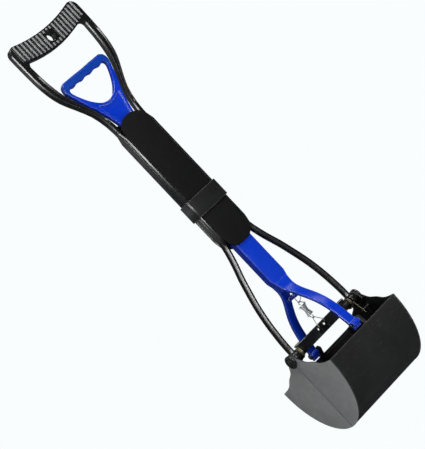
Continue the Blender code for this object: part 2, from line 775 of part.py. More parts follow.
def build_upper_frame():
    handle = flat_piece("handle", [handle_ring()], "XZ", HANDLE_HALF_DEPTH, edge=HANDLE_EDGE, segments=1)
    for side in (-1, 1):
        rail = stem_rail(
            f"upper_rail_{side}",
            side,
            COLLAR_MIDDLE_Z + FIT_GAP / 2,
            STEM_FULL_DEPTH_Z,
            STEM_RAIL_TOP_Z,
            RAIL_END_WIDTH_SHARE,
            RAIL_TOP_DEPTH_SHARE,
        )
        join(handle, rail)
    half = GRIP_CORE_HALF_LENGTH
    top = [(x, grip_top(x) - GRIP_CORE_INSET) for x in spread(-half, half, GRIP_STEPS * 2)]
    under = [(x, grip_bottom(x) + GRIP_CORE_INSET) for x in spread(half, -half, GRIP_STEPS * 2)]
    core = flat_piece("grip_core", [top + under], "XZ", GRIP_CORE_HALF_DEPTH, edge=GRIP_CORE_EDGE, segments=1)
    join(handle, core)
    for side in (-1, 1):
        for index in range(RIB_COUNT):
            x = side * (RIB_FIRST_X + index * RIB_PITCH)
            low = (x - RIB_WIDTH / 2, -RIB_HALF_DEPTH, grip_bottom(x) + RIB_INSET)
            high = (x + RIB_WIDTH / 2, RIB_HALF_DEPTH, grip_top(x) - RIB_INSET)
            join(handle, box(f"grip_rib_{side}_{index}", low, high, RIB_EDGE))
    for column in (-1, 0, 1):
        x = column * RIB_FIRST_X / 2
        near = max(abs(x) - RIB_WIDTH / 2, 0)
        clear = math.sqrt(HANG_RING_RADIUS**2 - near**2) + RIB_RING_GAP
        low = (x - RIB_WIDTH / 2, -RIB_HALF_DEPTH, grip_bottom(x) + RIB_INSET)
        high = (x + RIB_WIDTH / 2, RIB_HALF_DEPTH, HANG_HOLE_Z - clear)
        join(handle, box(f"rib_under_hole_{column}", low, high, RIB_EDGE))
        low = (x - RIB_WIDTH / 2, -RIB_HALF_DEPTH, HANG_HOLE_Z + clear)
        high = (x + RIB_WIDTH / 2, RIB_HALF_DEPTH, grip_top(x) - RIB_INSET)
        join(handle, box(f"rib_over_hole_{column}", low, high, RIB_EDGE))
    hole = {"x": 0, "z": HANG_HOLE_Z}
    join(handle, cylinder_y("hang_ring", HANG_RING_RADIUS, HANG_RING_HALF_DEPTH, edge=RIB_EDGE, **hole))
    cut(handle, cylinder_y("hang_bore", HANG_HOLE_RADIUS, HANG_RING_HALF_DEPTH + CUT_OVERRUN, **hole))
    for side in (-1, 1):
        depth = (RAIL_GROOVE_DEPTH + RAIL_GROOVE_SLOPE + CUT_OVERRUN) / 2
        middle = side * (HANDLE_HALF_DEPTH - RAIL_GROOVE_DEPTH + depth)
        slope = {"edge": RAIL_GROOVE_SLOPE, "segments": 1}
        cut(handle, flat_piece(f"rail_groove_{side}", rail_groove_rings(), "XZ", depth, middle, **slope))
    cut(handle, *screw_holes("stem", STEM_SCREW_Z))
    finish(handle, "upper_frame", FRAME, PLASTIC)


def cover_half(shares, end_z, cut_height, away):
    """The drawn-in end of a cover, from its middle to its side."""
    return [(COVER_HALF_WIDTH * across, end_z - away * cut_height * down) for across, down in shares]


def screw_places(heights):
    return [(side * SCREW_X, z) for z in heights for side in (-1, 1)]


def cover_front_y():
    return STEM_HALF_DEPTH - COVER_SINK


def screw_tip_y():
    """How far to the front a screw that is driven in from the back reaches."""
    return COVER_THICKNESS - SCREW_BLIND - cover_front_y()


def screw_holes(name, heights):
    """Clearance holes for the screws that hold both covers on a frame's rails."""
    back = cover_front_y()
    length = back - screw_tip_y()
    holes = []
    for index, (x, z) in enumerate(screw_places(heights)):
        hole = cylinder_x(
            f"{name}_screw_hole_{index}",
            SCREW_SHANK_RADIUS + FIT_GAP,
            -FIT_GAP,
            length + CUT_OVERRUN,
            steps=SMALL_ROUND_STEPS,
        )
        turn = Matrix.Rotation(math.radians(90), 4, "Z")
        hole.data.transform(Matrix.Translation((x, back - length, z)) @ turn)
        holes.append(hole)
    return holes


def screw_seats(name, heights):
    """Counterbores in a back cover, so that the screw heads lie flush."""
    back = cover_front_y()
    depth = SCREW_HEAD_HEIGHT + SCREW_SEAT_DEPTH
    seats = []
    for index, (x, z) in enumerate(screw_places(heights)):
        seat = cylinder_x(
            f"{name}_screw_seat_{index}",
            SCREW_HEAD_RADIUS + FIT_GAP,
            -FIT_GAP,
            depth + CUT_OVERRUN,
            steps=SMALL_ROUND_STEPS,
        )
        turn = Matrix.Rotation(math.radians(90), 4, "Z")
        seat.data.transform(Matrix.Translation((x, back - depth, z)) @ turn)
        seats.append(seat)
    return seats


def build_covers():
    middle = cover_front_y() - COVER_THICKNESS / 2
    joint_up = COLLAR_MIDDLE_Z + FIT_GAP / 2
    joint_down = COLLAR_MIDDLE_Z - FIT_GAP / 2
    top = cover_half(COVER_TOP_SHARES, COVER_TOP_Z, COVER_TOP_CUT, 1)
    end = cover_half(SLEEVE_END_SHARES, SLEEVE_END_Z, SLEEVE_END_CUT, -1)
    stem_ring = mirrored(top + [(COVER_HALF_WIDTH, joint_up)])
    sleeve_ring = mirrored(end + [(COVER_HALF_WIDTH, joint_down)])
    for name, ring, heights in (
        ("stem", stem_ring, STEM_SCREW_Z),
        ("sleeve", sleeve_ring, (SLEEVE_SCREW_Z,)),
    ):
        for face, side in (("front", 1), ("back", -1)):
            title = f"{name}_{face}_cover"
            half = COVER_THICKNESS / 2
            cover = flat_piece(title + "_shape", [ring], "XZ", half, side * middle, COVER_EDGE)
            cut(cover, *screw_holes(title, heights))
            if face == "back":
                cut(cover, *screw_seats(title, heights))
            finish(cover, title, FRAME, COVER_FINISH)


def rounded_rectangle(half_width, half_depth, radius, steps=CORNER_STEPS):
    ring = []
    for turn, (across, deep) in enumerate(((1, 1), (-1, 1), (-1, -1), (1, -1))):
        centre = (across * (half_width - radius), deep * (half_depth - radius))
        ring += arc(centre, radius, 90 * turn, 90 * turn + 90, steps)
    return ring


def build_collar():
    bore_width = STEM_HALF_WIDTH + FIT_GAP
    bore_depth = STEM_HALF_DEPTH + FIT_GAP
    outer = rounded_rectangle(bore_width + COLLAR_WALL, bore_depth + COLLAR_WALL, COLLAR_CORNER)
    bore = rounded_rectangle(bore_width, bore_depth, COLLAR_BORE_CORNER, 1)
    rings = [outer, bore]
    collar = flat_piece("collar_shape", rings, "XY", COLLAR_HALF_HEIGHT, COLLAR_MIDDLE_Z, SMALL_EDGE)
    finish(collar, "collar", FRAME, COVER_FINISH)


def arm_points(side):
    knots = [(side * ARM_FOOT_X * out, 0, ARM_LENGTH * up) for up, out in ARM_SHARES]
    return smooth(knots, ARM_STEPS)


def build_lower_frame():
    bar = box(
        "cross_bar",
        (-BAR_HALF_LENGTH, -BAR_HALF_DEPTH, BAR_BOTTOM_Z),
        (BAR_HALF_LENGTH, BAR_HALF_DEPTH, BAR_TOP_Z),
        BAR_EDGE,
    )
    for side in (-1, 1):
        inner = side * (BOSS_OUTER_X - BOSS_LENGTH)
        join(
            bar,
            cylinder_x(f"barrel_{side}", BARREL_RADIUS, side * BARREL_INNER_X, side * (BOSS_OUTER_X - SMALL_EDGE)),
            cylinder_x(f"boss_{side}", BOSS_RADIUS, inner, side * BOSS_OUTER_X, edge=BOSS_EDGE),
            tube(f"arm_{side}", arm_points(side), ARM_RADIUS, ARM_SIDES_RESOLUTION),
            stem_rail(
                f"lower_rail_{side}",
                side,
                COLLAR_MIDDLE_Z - FIT_GAP / 2,
                SLEEVE_RAIL_FULL_Z,
                SLEEVE_RAIL_END_Z,
                RAIL_END_WIDTH_SHARE,
                RAIL_END_DEPTH_SHARE,
            ),
        )
        cut(
            bar,
            cylinder_x(
                f"bolt_bore_{side}",
                BOLT_BORE_RADIUS,
                side * (BOLT_INNER_X - FIT_GAP),
                side * (BOSS_OUTER_X + CUT_OVERRUN),
            ),
            cylinder_y(
                f"yoke_hole_{side}",
                YOKE_HOLE_RADIUS,
                BAR_HALF_DEPTH + CUT_OVERRUN,
                side * YOKE_HOLE_X,
                YOKE_HOLE_Z,
                steps=SMALL_ROUND_STEPS,
            ),
        )
        for face in (-1, 1):
            shallow = face * (BAR_HALF_DEPTH - BAR_PANEL_DEPTH)
            proud = face * (BAR_HALF_DEPTH + CUT_OVERRUN)
            ends = sorted((side * BAR_PANEL_INNER_X, side * BAR_PANEL_OUTER_X))
            low = (ends[0], min(shallow, proud), BAR_BOTTOM_Z + BAR_PANEL_BORDER)
            high = (ends[1], max(shallow, proud), BAR_TOP_Z - BAR_PANEL_BORDER)
            cut(bar, box(f"bar_panel_{side}_{face}", low, high))
    pocket = box(
        "bar_pocket",
        (-BAR_POCKET_HALF_LENGTH, -BAR_HALF_DEPTH - CUT_OVERRUN, BAR_BOTTOM_Z + BAR_PANEL_BORDER),
        (BAR_POCKET_HALF_LENGTH, BAR_HALF_DEPTH - BAR_WEB, BAR_TOP_Z - BAR_PANEL_BORDER),
    )
    cut(bar, pocket, *screw_holes("sleeve", (SLEEVE_SCREW_Z,)))
    finish(bar, "lower_frame", FRAME, PLASTIC)


def build_pivots():
    ear_x = JAW_HALF_WIDTH + FIT_GAP
    cap_top = ear_x + CAP_THICKNESS
    seat = ear_x + CAP_FLOOR
    groove_in = CAP_GROOVE_RADIUS - CAP_GROOVE_WIDTH
    groove_floor = cap_top - CAP_GROOVE_DEPTH
    head_bore = BOLT_HEAD_RADIUS + FIT_GAP
    cap = flat_piece(
        "cap_shape",
        [arc((0, 0), CAP_RADIUS, 0, 360, ROUND_STEPS)[:-1], arc((0, 0), BOLT_BORE_RADIUS, 0, 360, ROUND_STEPS)[:-1]],
        "YZ",
        CAP_THICKNESS / 2,
        ear_x + CAP_THICKNESS / 2,
        CAP_EDGE,
        1,
    )
    cut(cap, cylinder_x("cap_seat", head_bore, seat, cap_top + CUT_OVERRUN))
    ring = flat_piece(
        "cap_groove",
        [arc((0, 0), CAP_GROOVE_RADIUS, 0, 360, ROUND_STEPS)[:-1], arc((0, 0), groove_in, 0, 360, ROUND_STEPS)[:-1]],
        "YZ",
        (CAP_GROOVE_DEPTH + CUT_OVERRUN) / 2,
        groove_floor + (CAP_GROOVE_DEPTH + CUT_OVERRUN) / 2,
    )
    cut(cap, ring)
    cap_mesh = baked(cap)
    head_low = seat + FIT_GAP
    head_top = head_low + BOLT_HEAD_HEIGHT
    recess = head_top - BOLT_RECESS_DEPTH
    bolt_mesh = turned(
        "bolt_shape",
        (
            (0, recess),
            (BOLT_RECESS_RADIUS, recess),
            (BOLT_RECESS_RADIUS, head_top),
            (BOLT_HEAD_RADIUS - SMALL_EDGE, head_top),
            (BOLT_HEAD_RADIUS, head_top - SMALL_EDGE),
            (BOLT_HEAD_RADIUS, head_low),
            (BOLT_RADIUS, head_low),
            (BOLT_RADIUS, BOLT_INNER_X + SMALL_EDGE),
            (BOLT_RADIUS - SMALL_EDGE, BOLT_INNER_X),
            (0, BOLT_INNER_X),
        ),
    )
    for name, side in (("left", -1), ("right", 1)):
        turn = (0, 0, math.radians(90 - 90 * side))
        add_piece(f"{name}_pivot_cap", cap_mesh, FRAME, CAP_FINISH, rotation=turn)
        add_piece(f"{name}_pivot_bolt", bolt_mesh, FRAME, BOLT_FINISH, rotation=(0, side * math.radians(90), 0))


def jaw_point(share_angle, inset=0.0):
    """A point on the front jaw's curved outer side, or inset from it. 0 is the rim and 90 the tip."""
    angle = math.radians(share_angle)
    return (-(JAW_HALF_DEPTH - inset) * math.cos(angle), JAW_RIM_Z - (JAW_DROP - inset) * math.sin(angle))


def jaw_curve(inset, seam):
    """The curved side from the rim down to the seam between the jaws."""
    points = [jaw_point(angle, inset) for angle in spread(0, 90, JAW_ARC_STEPS)]
    points[-1] = (-seam, points[-1][1])
    return [point for point in points if point[0] <= -seam]


def plate_top():
    """The hollowed top edge of an end plate, from beside the pivot out to its pointed corner."""
    knots = [(-JAW_HALF_DEPTH * out, JAW_RIM_Z * down) for out, down in PLATE_TOP_SHARES]
    return [tuple(point) for point in smooth(knots, PLATE_TOP_STEPS)]


def plate_ring(pivot_radius, start, end):
    """An end plate: the seam, an arc round the pivot, the top edge and the curved side."""
    outer = jaw_curve(-JAW_PLATE_PROUD, FIT_GAP)
    round_pivot = arc((0, 0), pivot_radius, start, end, EAR_ARC_STEPS)
    return round_pivot + plate_top() + outer


def build_jaw(lug_side):
    """The front jaw. lug_side is the side of the fork's arm that its link lug stands on."""
    shell_seam = FIT_GAP + SEAM_INSET
    bead_z = JAW_RIM_Z - JAW_RIM_BEAD_HEIGHT
    inner = [point for point in jaw_curve(JAW_WALL, shell_seam) if point[1] < bead_z - JAW_RIM_BEAD]
    bead_y = -(JAW_HALF_DEPTH - JAW_WALL - JAW_RIM_BEAD)
    lip = [(bead_y + JAW_RIM_BEAD, bead_z - JAW_RIM_BEAD), (bead_y, bead_z), (bead_y, JAW_RIM_Z)]
    section = jaw_curve(0.0, shell_seam) + list(reversed(inner)) + lip
    shell = flat_piece("jaw_shell", [section], "YZ", JAW_HALF_WIDTH - JAW_PLATE / 2, edge=JAW_EDGE, segments=1)

    plate_middle = JAW_HALF_WIDTH - JAW_PLATE / 2
    ear_ring = plate_ring(EAR_RADIUS, -90, 172)
    relief_ring = plate_ring(EAR_RADIUS + 2 * FIT_GAP, 268, 184)
    outer_ear = flat_piece("outer_ear_plate", [ear_ring], "YZ", JAW_PLATE / 2, -plate_middle, JAW_EDGE, 1)
    relieved = flat_piece("relieved_plate", [relief_ring], "YZ", JAW_PLATE / 2, plate_middle, JAW_EDGE, 1)
    inner_layer = JAW_HALF_WIDTH - JAW_PLATE * 1.5 - FIT_GAP
    tongue_ring = arc((0, 0), EAR_RADIUS, -88, 165, EAR_ARC_STEPS) + arc((0, 0), EAR_ROOT_RADIUS, 206, 266, 5)
    tongue = flat_piece("inner_ear", [tongue_ring], "YZ", JAW_PLATE / 2, inner_layer)
    root_ring = arc((0, 0), EAR_RADIUS + 4 * FIT_GAP, 208, 264, 5)
    root_ring += arc((0, 0), EAR_ROOT_RADIUS - FIT_GAP, 264, 208, 5)
    bridge_low = inner_layer + JAW_PLATE / 2 - EAR_BRIDGE_BITE
    bridge_high = plate_middle - JAW_PLATE / 2 + EAR_BRIDGE_BITE
    bridge = flat_piece(
        "ear_bridge", [root_ring], "YZ", (bridge_high - bridge_low) / 2, (bridge_high + bridge_low) / 2
    )
    join(shell, outer_ear, relieved, tongue, bridge)

    lug_root = []
    for out, down in LUG_ROOT_SHARES:
        lug_root.append((-JAW_HALF_DEPTH * out, JAW_RIM_Z - JAW_DROP * down))
    lug_ring = arc((-LINK_Y, LINK_Z), LUG_RADIUS, -40, 165, 10) + lug_root
    middle = lug_side * (LUG_INNER_X + LUG_THICKNESS / 2)
    join(shell, flat_piece("lug", [lug_ring], "YZ", LUG_THICKNESS / 2, middle, LUG_EDGE, 1))
    peg_end = JAW_HALF_WIDTH - JAW_PLATE / 2
    join(shell, cylinder_x("spring_peg", PEG_RADIUS, PEG_INNER_X, peg_end, -PEG_Y, PEG_Z, steps=SMALL_ROUND_STEPS))
    reach = JAW_HALF_WIDTH + CUT_OVERRUN
    lug_reach = LUG_INNER_X + LUG_THICKNESS + CUT_OVERRUN
    bore = LINK_PIN_RADIUS + FIT_GAP
    cut(
        shell,
        cylinder_x("pivot_bore_left", BOLT_BORE_RADIUS, -reach, -BOSS_OUTER_X),
        cylinder_x("pivot_bore_right", BOLT_BORE_RADIUS, BOSS_OUTER_X, reach),
        cylinder_x("link_bore", bore, *sorted((0, lug_side * lug_reach)), -LINK_Y, LINK_Z, steps=SMALL_ROUND_STEPS),
    )
    return baked(shell)


def build_link_pin():
    """A headed pin through a fork arm's eye and a jaw's lug, standing along Z, and its clip."""
    lug_end = LUG_INNER_X + LUG_THICKNESS
    head_low = -(STRAP_HALF_WIDTH + FIT_GAP)
    head_top = head_low - PIN_HEAD_THICKNESS
    tip = lug_end + 2 * FIT_GAP + CLIP_THICKNESS + PIN_TIP
    pin = turned(
        "link_pin_shape",
        (
            (0, tip),
            (LINK_PIN_RADIUS - SMALL_EDGE, tip),
            (LINK_PIN_RADIUS, tip - SMALL_EDGE),
            (LINK_PIN_RADIUS, head_low),
            (PIN_HEAD_RADIUS, head_low),
            (PIN_HEAD_RADIUS, head_top + SMALL_EDGE),
            (PIN_HEAD_RADIUS - SMALL_EDGE, head_top),
            (0, head_top),
        ),
        SMALL_ROUND_STEPS,
    )
    rings = []
    for radius in (CLIP_RADIUS, LINK_PIN_RADIUS + FIT_GAP):
        rings.append(arc((0, 0), radius, 0, 360, SMALL_ROUND_STEPS)[:-1])
    clip_middle = lug_end + FIT_GAP + CLIP_THICKNESS / 2
    clip = baked(flat_piece("pin_clip_shape", rings, "XY", CLIP_THICKNESS / 2, clip_middle))
    return pin, clip


def build_jaws():
    pin, clip = build_link_pin()
    along_x = (0, math.radians(90), 0)
    for name, parent in (("front", FRONT_HINGE), ("back", BACK_HINGE)):
        half_turn = (0, 0, 0) if name == "front" else (0, 0, math.radians(180))
        side = -1 if name == "front" else 1
        add_piece(f"{name}_jaw", build_jaw(-side), parent, JAW_FINISH, rotation=half_turn)
        at_pin = (0, side * LINK_Y, LINK_Z)
        add_piece(f"{name}_link_pin", pin, parent, BOLT_FINISH, at_pin, along_x)
        add_piece(f"{name}_pin_clip", clip, parent, BOLT_FINISH, at_pin, along_x)


def strap_stations():
    """Stations down the fork's front arm: its middle, and its half width there."""
    drop = STRAP_TOP_Z - STRAP_END_Z
    end_y = LINK_Y + LINK_SWING_Y / 2
    knots = [
        (end_y * out, STRAP_TOP_Z - drop * down, STRAP_HALF_WIDTH * wide)
        for down, out, wide in STRAP_SHARES
    ]
    return smooth(knots, STRAP_STEPS)


def strap(name, side):
    """One arm of the fork: a flat strap lofted along its bow, wide at the neck."""
    stations = strap_stations()
    bm = bmesh.new()
    rings = []
    for index, station in enumerate(stations):
        ahead = stations[min(index + 1, len(stations) - 1)]
        behind = stations[max(index - 1, 0)]
        along = Vector((0, ahead.x - behind.x, ahead.y - behind.y)).normalized()
        across = Vector((0, -along.z, along.y))
        half_width = station.z
        ring = []
        for x, deep in rounded_rectangle(half_width, STRAP_HALF_THICKNESS, STRAP_CORNER, 1):
            place_at = Vector((x, station.x, station.y)) + across * deep
            ring.append(bm.verts.new((place_at.x, side * place_at.y, place_at.z)))
        rings.append(ring)
    for upper, lower in zip(rings, rings[1:]):
        for index in range(len(upper)):
            after = (index + 1) % len(upper)
            bm.faces.new((upper[index], upper[after], lower[after], lower[index]))
    bm.faces.new(rings[0])
    bm.faces.new(rings[-1])
    bmesh.ops.recalc_face_normals(bm, faces=bm.faces)
    mesh = bpy.data.meshes.new(name)
    bm.to_mesh(mesh)
    bm.free()
    return place(name, mesh)


def stadium(centre, half_length, radius, steps=8):
    right = arc((centre[0] + half_length, centre[1]), radius, -90, 90, steps)
    left = arc((centre[0] - half_length, centre[1]), radius, 90, 270, steps)
    return right + left


def build_fork():
    neck = []
    for up, wide in FORK_NECK_SHARES:
        z = FORK_CROTCH_Z + (FORK_NECK_Z - FORK_CROTCH_Z) * up
        neck.append((ROD_HALF_WIDTH * wide, z))
    ring = mirrored([(ROD_HALF_WIDTH, LAP_TOP_Z)] + neck)
    fork = flat_piece("rod", [ring], "XZ", ROD_HALF_DEPTH, edge=ROD_EDGE)
    slot_half = (LINK_SWING_Y + 2 * FIT_GAP) / 2
    for side in (-1, 1):
        eye_y = side * (LINK_Y + LINK_SWING_Y / 2)
        eye = stadium((eye_y, LINK_Z), slot_half, EYE_RADIUS)
        slot = stadium((eye_y, LINK_Z), slot_half, LINK_PIN_RADIUS + FIT_GAP)
        tab_ends = sorted((side * TAB_TIP_Y, side * TAB_ROOT_Y))
        lip_ends = sorted((side * TAB_TIP_Y, side * (TAB_TIP_Y + TAB_LIP)))
        half = TAB_HALF_WIDTH
        join(
            fork,
            strap(f"strap_{side}", side),
            flat_piece(f"eye_{side}", [eye], "YZ", EYE_HALF_WIDTH, edge=EYE_EDGE, segments=1),
            box(
                f"tab_{side}",
                (-half, tab_ends[0], TAB_TOP_Z - TAB_THICKNESS),
                (half, tab_ends[1], TAB_TOP_Z),
                SMALL_EDGE,
            ),
            box(
                f"tab_lip_{side}",
                (SMALL_EDGE / 2 - half, lip_ends[0] + SMALL_EDGE / 4, TAB_TOP_Z - TAB_THICKNESS / 2),
                (half - SMALL_EDGE / 2, lip_ends[1] + SMALL_EDGE / 4, TAB_TOP_Z + TAB_LIP_HEIGHT),
                SMALL_EDGE,
            ),
        )
        cut(fork, flat_piece(f"slot_{side}", [slot], "YZ", EYE_HALF_WIDTH + CUT_OVERRUN))
    channel_half = ROD_HALF_WIDTH - ROD_CHANNEL_WALL
    channel_floor = ROD_CHANNEL_FLOOR - ROD_HALF_DEPTH
    overrun = ROD_HALF_DEPTH + CUT_OVERRUN
    channel_top = LAP_BOTTOM_Z - ROD_CHANNEL_WALL
    cut(
        fork,
        box(
            "rod_channel",
            (-channel_half, channel_floor, ROD_CHANNEL_LOW_Z),
            (channel_half, overrun, channel_top),
        ),
        box(
            "fork_lap",
            (-ROD_HALF_WIDTH - CUT_OVERRUN, -overrun, LAP_BOTTOM_Z - FIT_GAP),
            (ROD_HALF_WIDTH + CUT_OVERRUN, FIT_GAP / 2, LAP_TOP_Z + CUT_OVERRUN),
        ),
        *rod_screw_holes("fork"),
    )
    finish(fork, "pull_fork", SLIDE, BLUE_FINISH)


def rod_screw_holes(name):
    """Holes for the two screws through the half-lap joint, driven in from the front."""
    front = -TRIGGER_HALF_DEPTH
    holes = []
    for index, z in enumerate(ROD_SCREW_Z):
        shank = cylinder_x(
            f"{name}_rod_screw_hole_{index}",
            SCREW_SHANK_RADIUS + FIT_GAP,
            -CUT_OVERRUN,
            ROD_SCREW_LENGTH + FIT_GAP,
            steps=SMALL_ROUND_STEPS,
        )
        seat = cylinder_x(
            f"{name}_rod_screw_seat_{index}",
            SCREW_HEAD_RADIUS + FIT_GAP,
            -CUT_OVERRUN,
            SCREW_HEAD_HEIGHT + SCREW_SEAT_DEPTH,
            steps=SMALL_ROUND_STEPS,
        )
        turn = Matrix.Translation((0, front, z)) @ Matrix.Rotation(math.radians(90), 4, "Z")
        shank.data.transform(turn)
        seat.data.transform(turn)
        holes += [shank, seat]
    return holes


def under_bar(x):
    """The trigger bar's underside, with a hollow for each finger."""
    return OPENING_TOP_Z - SCALLOP_DEPTH * (1 - abs(math.cos(math.pi * x / SCALLOP_PITCH)))


def build_trigger():
    rise = LOOP_TOP_Z - LOOP_BASE_Z
    loop = smooth(
        [(ROD_HALF_WIDTH + LOOP_SPREAD * out, LOOP_BASE_Z + rise * up) for up, out in LOOP_SHARES], LOOP_STEPS
    )
    outer = [(ROD_HALF_WIDTH, LAP_BOTTOM_Z)] + [tuple(point) for point in loop]
    outer += [(outer[-1][0] / 2, LOOP_TOP_Z - LOOP_TOP_DIP / 2), (0, LOOP_TOP_Z - LOOP_TOP_DIP)]
    height = OPENING_TOP_Z - OPENING_BOTTOM_Z
    opening = smooth(
        [(OPENING_HALF_WIDTH * out, OPENING_BOTTOM_Z + height * up) for up, out in OPENING_SHARES], 2
    )
    edge_x = opening[-1].x
    steps = round(edge_x / SCALLOP_PITCH * 2) * SCALLOP_STEPS
    fingers = [(x, under_bar(x)) for x in spread(edge_x, 0, steps)[1:]]
    inner = [tuple(point) for point in opening] + fingers
    trigger = flat_piece(
        "trigger_shape", [mirrored(outer), mirrored(inner)], "XZ", TRIGGER_HALF_DEPTH, edge=TRIGGER_EDGE
    )
    panel = mirrored([(ROD_HALF_WIDTH * out, LOOP_BASE_Z + TRIGGER_NECK * up) for up, out in PANEL_SHARES])
    depth = (PANEL_DEPTH + CUT_OVERRUN) / 2
    for side in (-1, 1):
        middle = side * (TRIGGER_HALF_DEPTH - PANEL_DEPTH + depth)
        cut(trigger, flat_piece(f"neck_panel_{side}", [panel], "XZ", depth, middle))
    reach = ROD_HALF_WIDTH + CUT_OVERRUN
    cut(
        trigger,
        box(
            "trigger_lap",
            (-reach, -FIT_GAP / 2, LAP_BOTTOM_Z - CUT_OVERRUN),
            (reach, TRIGGER_HALF_DEPTH + CUT_OVERRUN, LAP_TOP_Z + FIT_GAP),
        ),
        *rod_screw_holes("trigger"),
    )
    finish(trigger, "trigger_handle", SLIDE, BLUE_FINISH)


def screw_mesh(name, length):
    """A socket-head screw that points down -Z, with the top of its head at zero."""
    return turned(
        name,
        (
            (0, -SCREW_SOCKET_DEPTH),
            (SCREW_SOCKET_RADIUS, -SCREW_SOCKET_DEPTH),
            (SCREW_SOCKET_RADIUS, 0),
            (SCREW_HEAD_RADIUS - SMALL_EDGE, 0),
            (SCREW_HEAD_RADIUS, -SMALL_EDGE),
            (SCREW_HEAD_RADIUS, -SCREW_HEAD_HEIGHT),
            (SCREW_SHANK_RADIUS, -SCREW_HEAD_HEIGHT),
            (SCREW_SHANK_RADIUS, -length),
            (0, -length),
        ),
        SMALL_ROUND_STEPS,
    )


def build_screws():
    back = cover_front_y() - SCREW_SEAT_DEPTH + FIT_GAP
    length = back - screw_tip_y() - FIT_GAP
    cover_screw = screw_mesh("cover_screw_shape", length)
    faces_back = (math.radians(-90), 0, 0)
    for name, heights in (("stem", STEM_SCREW_Z), ("sleeve", (SLEEVE_SCREW_Z,))):
        for index, (x, z) in enumerate(screw_places(heights)):
            add_piece(f"{name}_screw_{index + 1}", cover_screw, FRAME, SCREW_FINISH, (x, back, z), faces_back)
    rod_screw = screw_mesh("rod_screw_shape", ROD_SCREW_LENGTH - FIT_GAP)
    faces_front = (math.radians(90), 0, 0)
    front = -TRIGGER_HALF_DEPTH
    for index, z in enumerate(ROD_SCREW_Z):
        add_piece(f"rod_screw_{index + 1}", rod_screw, SLIDE, SCREW_FINISH, (0, front, z), faces_front)


def eye_points(centre_z, upwards, plane):
    """The end eye of the closing spring, from its free end round to where it meets the coil."""
    points = []
    for angle in spread(-140, 78, 9):
        across = CLOSER_EYE_RADIUS * math.sin(math.radians(angle))
        along = CLOSER_EYE_RADIUS * math.cos(math.radians(angle))
        z = centre_z + upwards * along
        points.append(Vector((0, across, z)) if plane == "YZ" else Vector((across, 0, z)))
    return points


def build_closing_spring():
    low_eye_z = CLOSER_LOW_Z - CLOSER_EYE_REACH
    high_eye_z = CLOSER_HIGH_Z + CLOSER_EYE_REACH
    coil = []
    count = round(CLOSER_TURNS * CURL_POINTS)
    for index in range(count + 1):
        angle = math.radians(90) + 2 * math.pi * index / CURL_POINTS
        up = index / count
        z = CLOSER_LOW_Z + (CLOSER_HIGH_Z - CLOSER_LOW_Z) * up
        end_radius = CLOSER_LOW_RADIUS if up < 1 / 2 else CLOSER_HIGH_RADIUS
        radius = CLOSER_WAIST_RADIUS + (end_radius - CLOSER_WAIST_RADIUS) * abs(2 * up - 1) ** CLOSER_TAPER
        coil.append(Vector((radius * math.cos(angle), radius * math.sin(angle), z)))
    low = eye_points(low_eye_z, -1, "YZ")
    high = eye_points(high_eye_z, 1, "XZ")
    points = low + coil + list(reversed(high))
    print_least_gap("closing_spring", points, CLOSER_WIRE)
    finish(tube("closing_spring_wire", points, CLOSER_WIRE), "closing_spring", SLIDE, STEEL_FINISH)
    return low_eye_z, high_eye_z


def build_yokes(low_eye_z, high_eye_z):
    inside = CLOSER_EYE_RADIUS - CLOSER_WIRE - FIT_GAP - YOKE_WIRE
    high_bend = high_eye_z + inside
    tab_over = TAB_TOP_Z + FIT_GAP + YOKE_WIRE
    half = []
    for y, x, z in (
        (0, 0, high_bend),
        (YOKE_BEND, 0, high_bend + YOKE_BEND / 3),
        (UPPER_YOKE_SPREAD, UPPER_YOKE_SIDE, UPPER_YOKE_KNEE_Z),
        (UPPER_YOKE_SPREAD, UPPER_YOKE_SIDE, tab_over - YOKE_HOOK_DROP / 2),
        (UPPER_YOKE_SPREAD, TAB_HALF_WIDTH, tab_over + YOKE_WIRE / 3),
        (UPPER_YOKE_SPREAD, -TAB_HALF_WIDTH, tab_over + YOKE_WIRE / 3),
        (UPPER_YOKE_SPREAD, -UPPER_YOKE_SIDE, tab_over - YOKE_HOOK_DROP),
    ):
        half.append((x, y, z))
    other = [(x, -y, z) for x, y, z in reversed(half[1:])]
    upper = tube("upper_yoke_wire", smooth(other + half, WIRE_STEPS), YOKE_WIRE)
    finish(upper, "upper_spring_yoke", SLIDE, STEEL_FINISH)

    low_bend = low_eye_z - inside
    mouth = -(BAR_HALF_DEPTH + FIT_GAP)
    top_z = BAR_TOP_Z + FIT_GAP + YOKE_WIRE
    half = [(0, 0, low_bend), (YOKE_BEND, 0, low_bend - YOKE_BEND / 3)]
    half.append((YOKE_HOLE_X, mouth - YOKE_BEND, top_z))
    hook_z = YOKE_HOLE_Z + YOKE_HOLE_RADIUS - FIT_GAP - YOKE_WIRE
    for y, z in arc((mouth, hook_z + YOKE_BEND), YOKE_BEND, 180, 270, 3):
        half.append((YOKE_HOLE_X, y, z))
    half.append((YOKE_HOLE_X, BAR_HALF_DEPTH + YOKE_TAIL, hook_z))
    other = [(-x, y, z) for x, y, z in reversed(half[1:])]
    lower = tube("lower_yoke_wire", other + half, YOKE_WIRE)
    finish(lower, "lower_spring_yoke", FRAME, STEEL_FINISH)


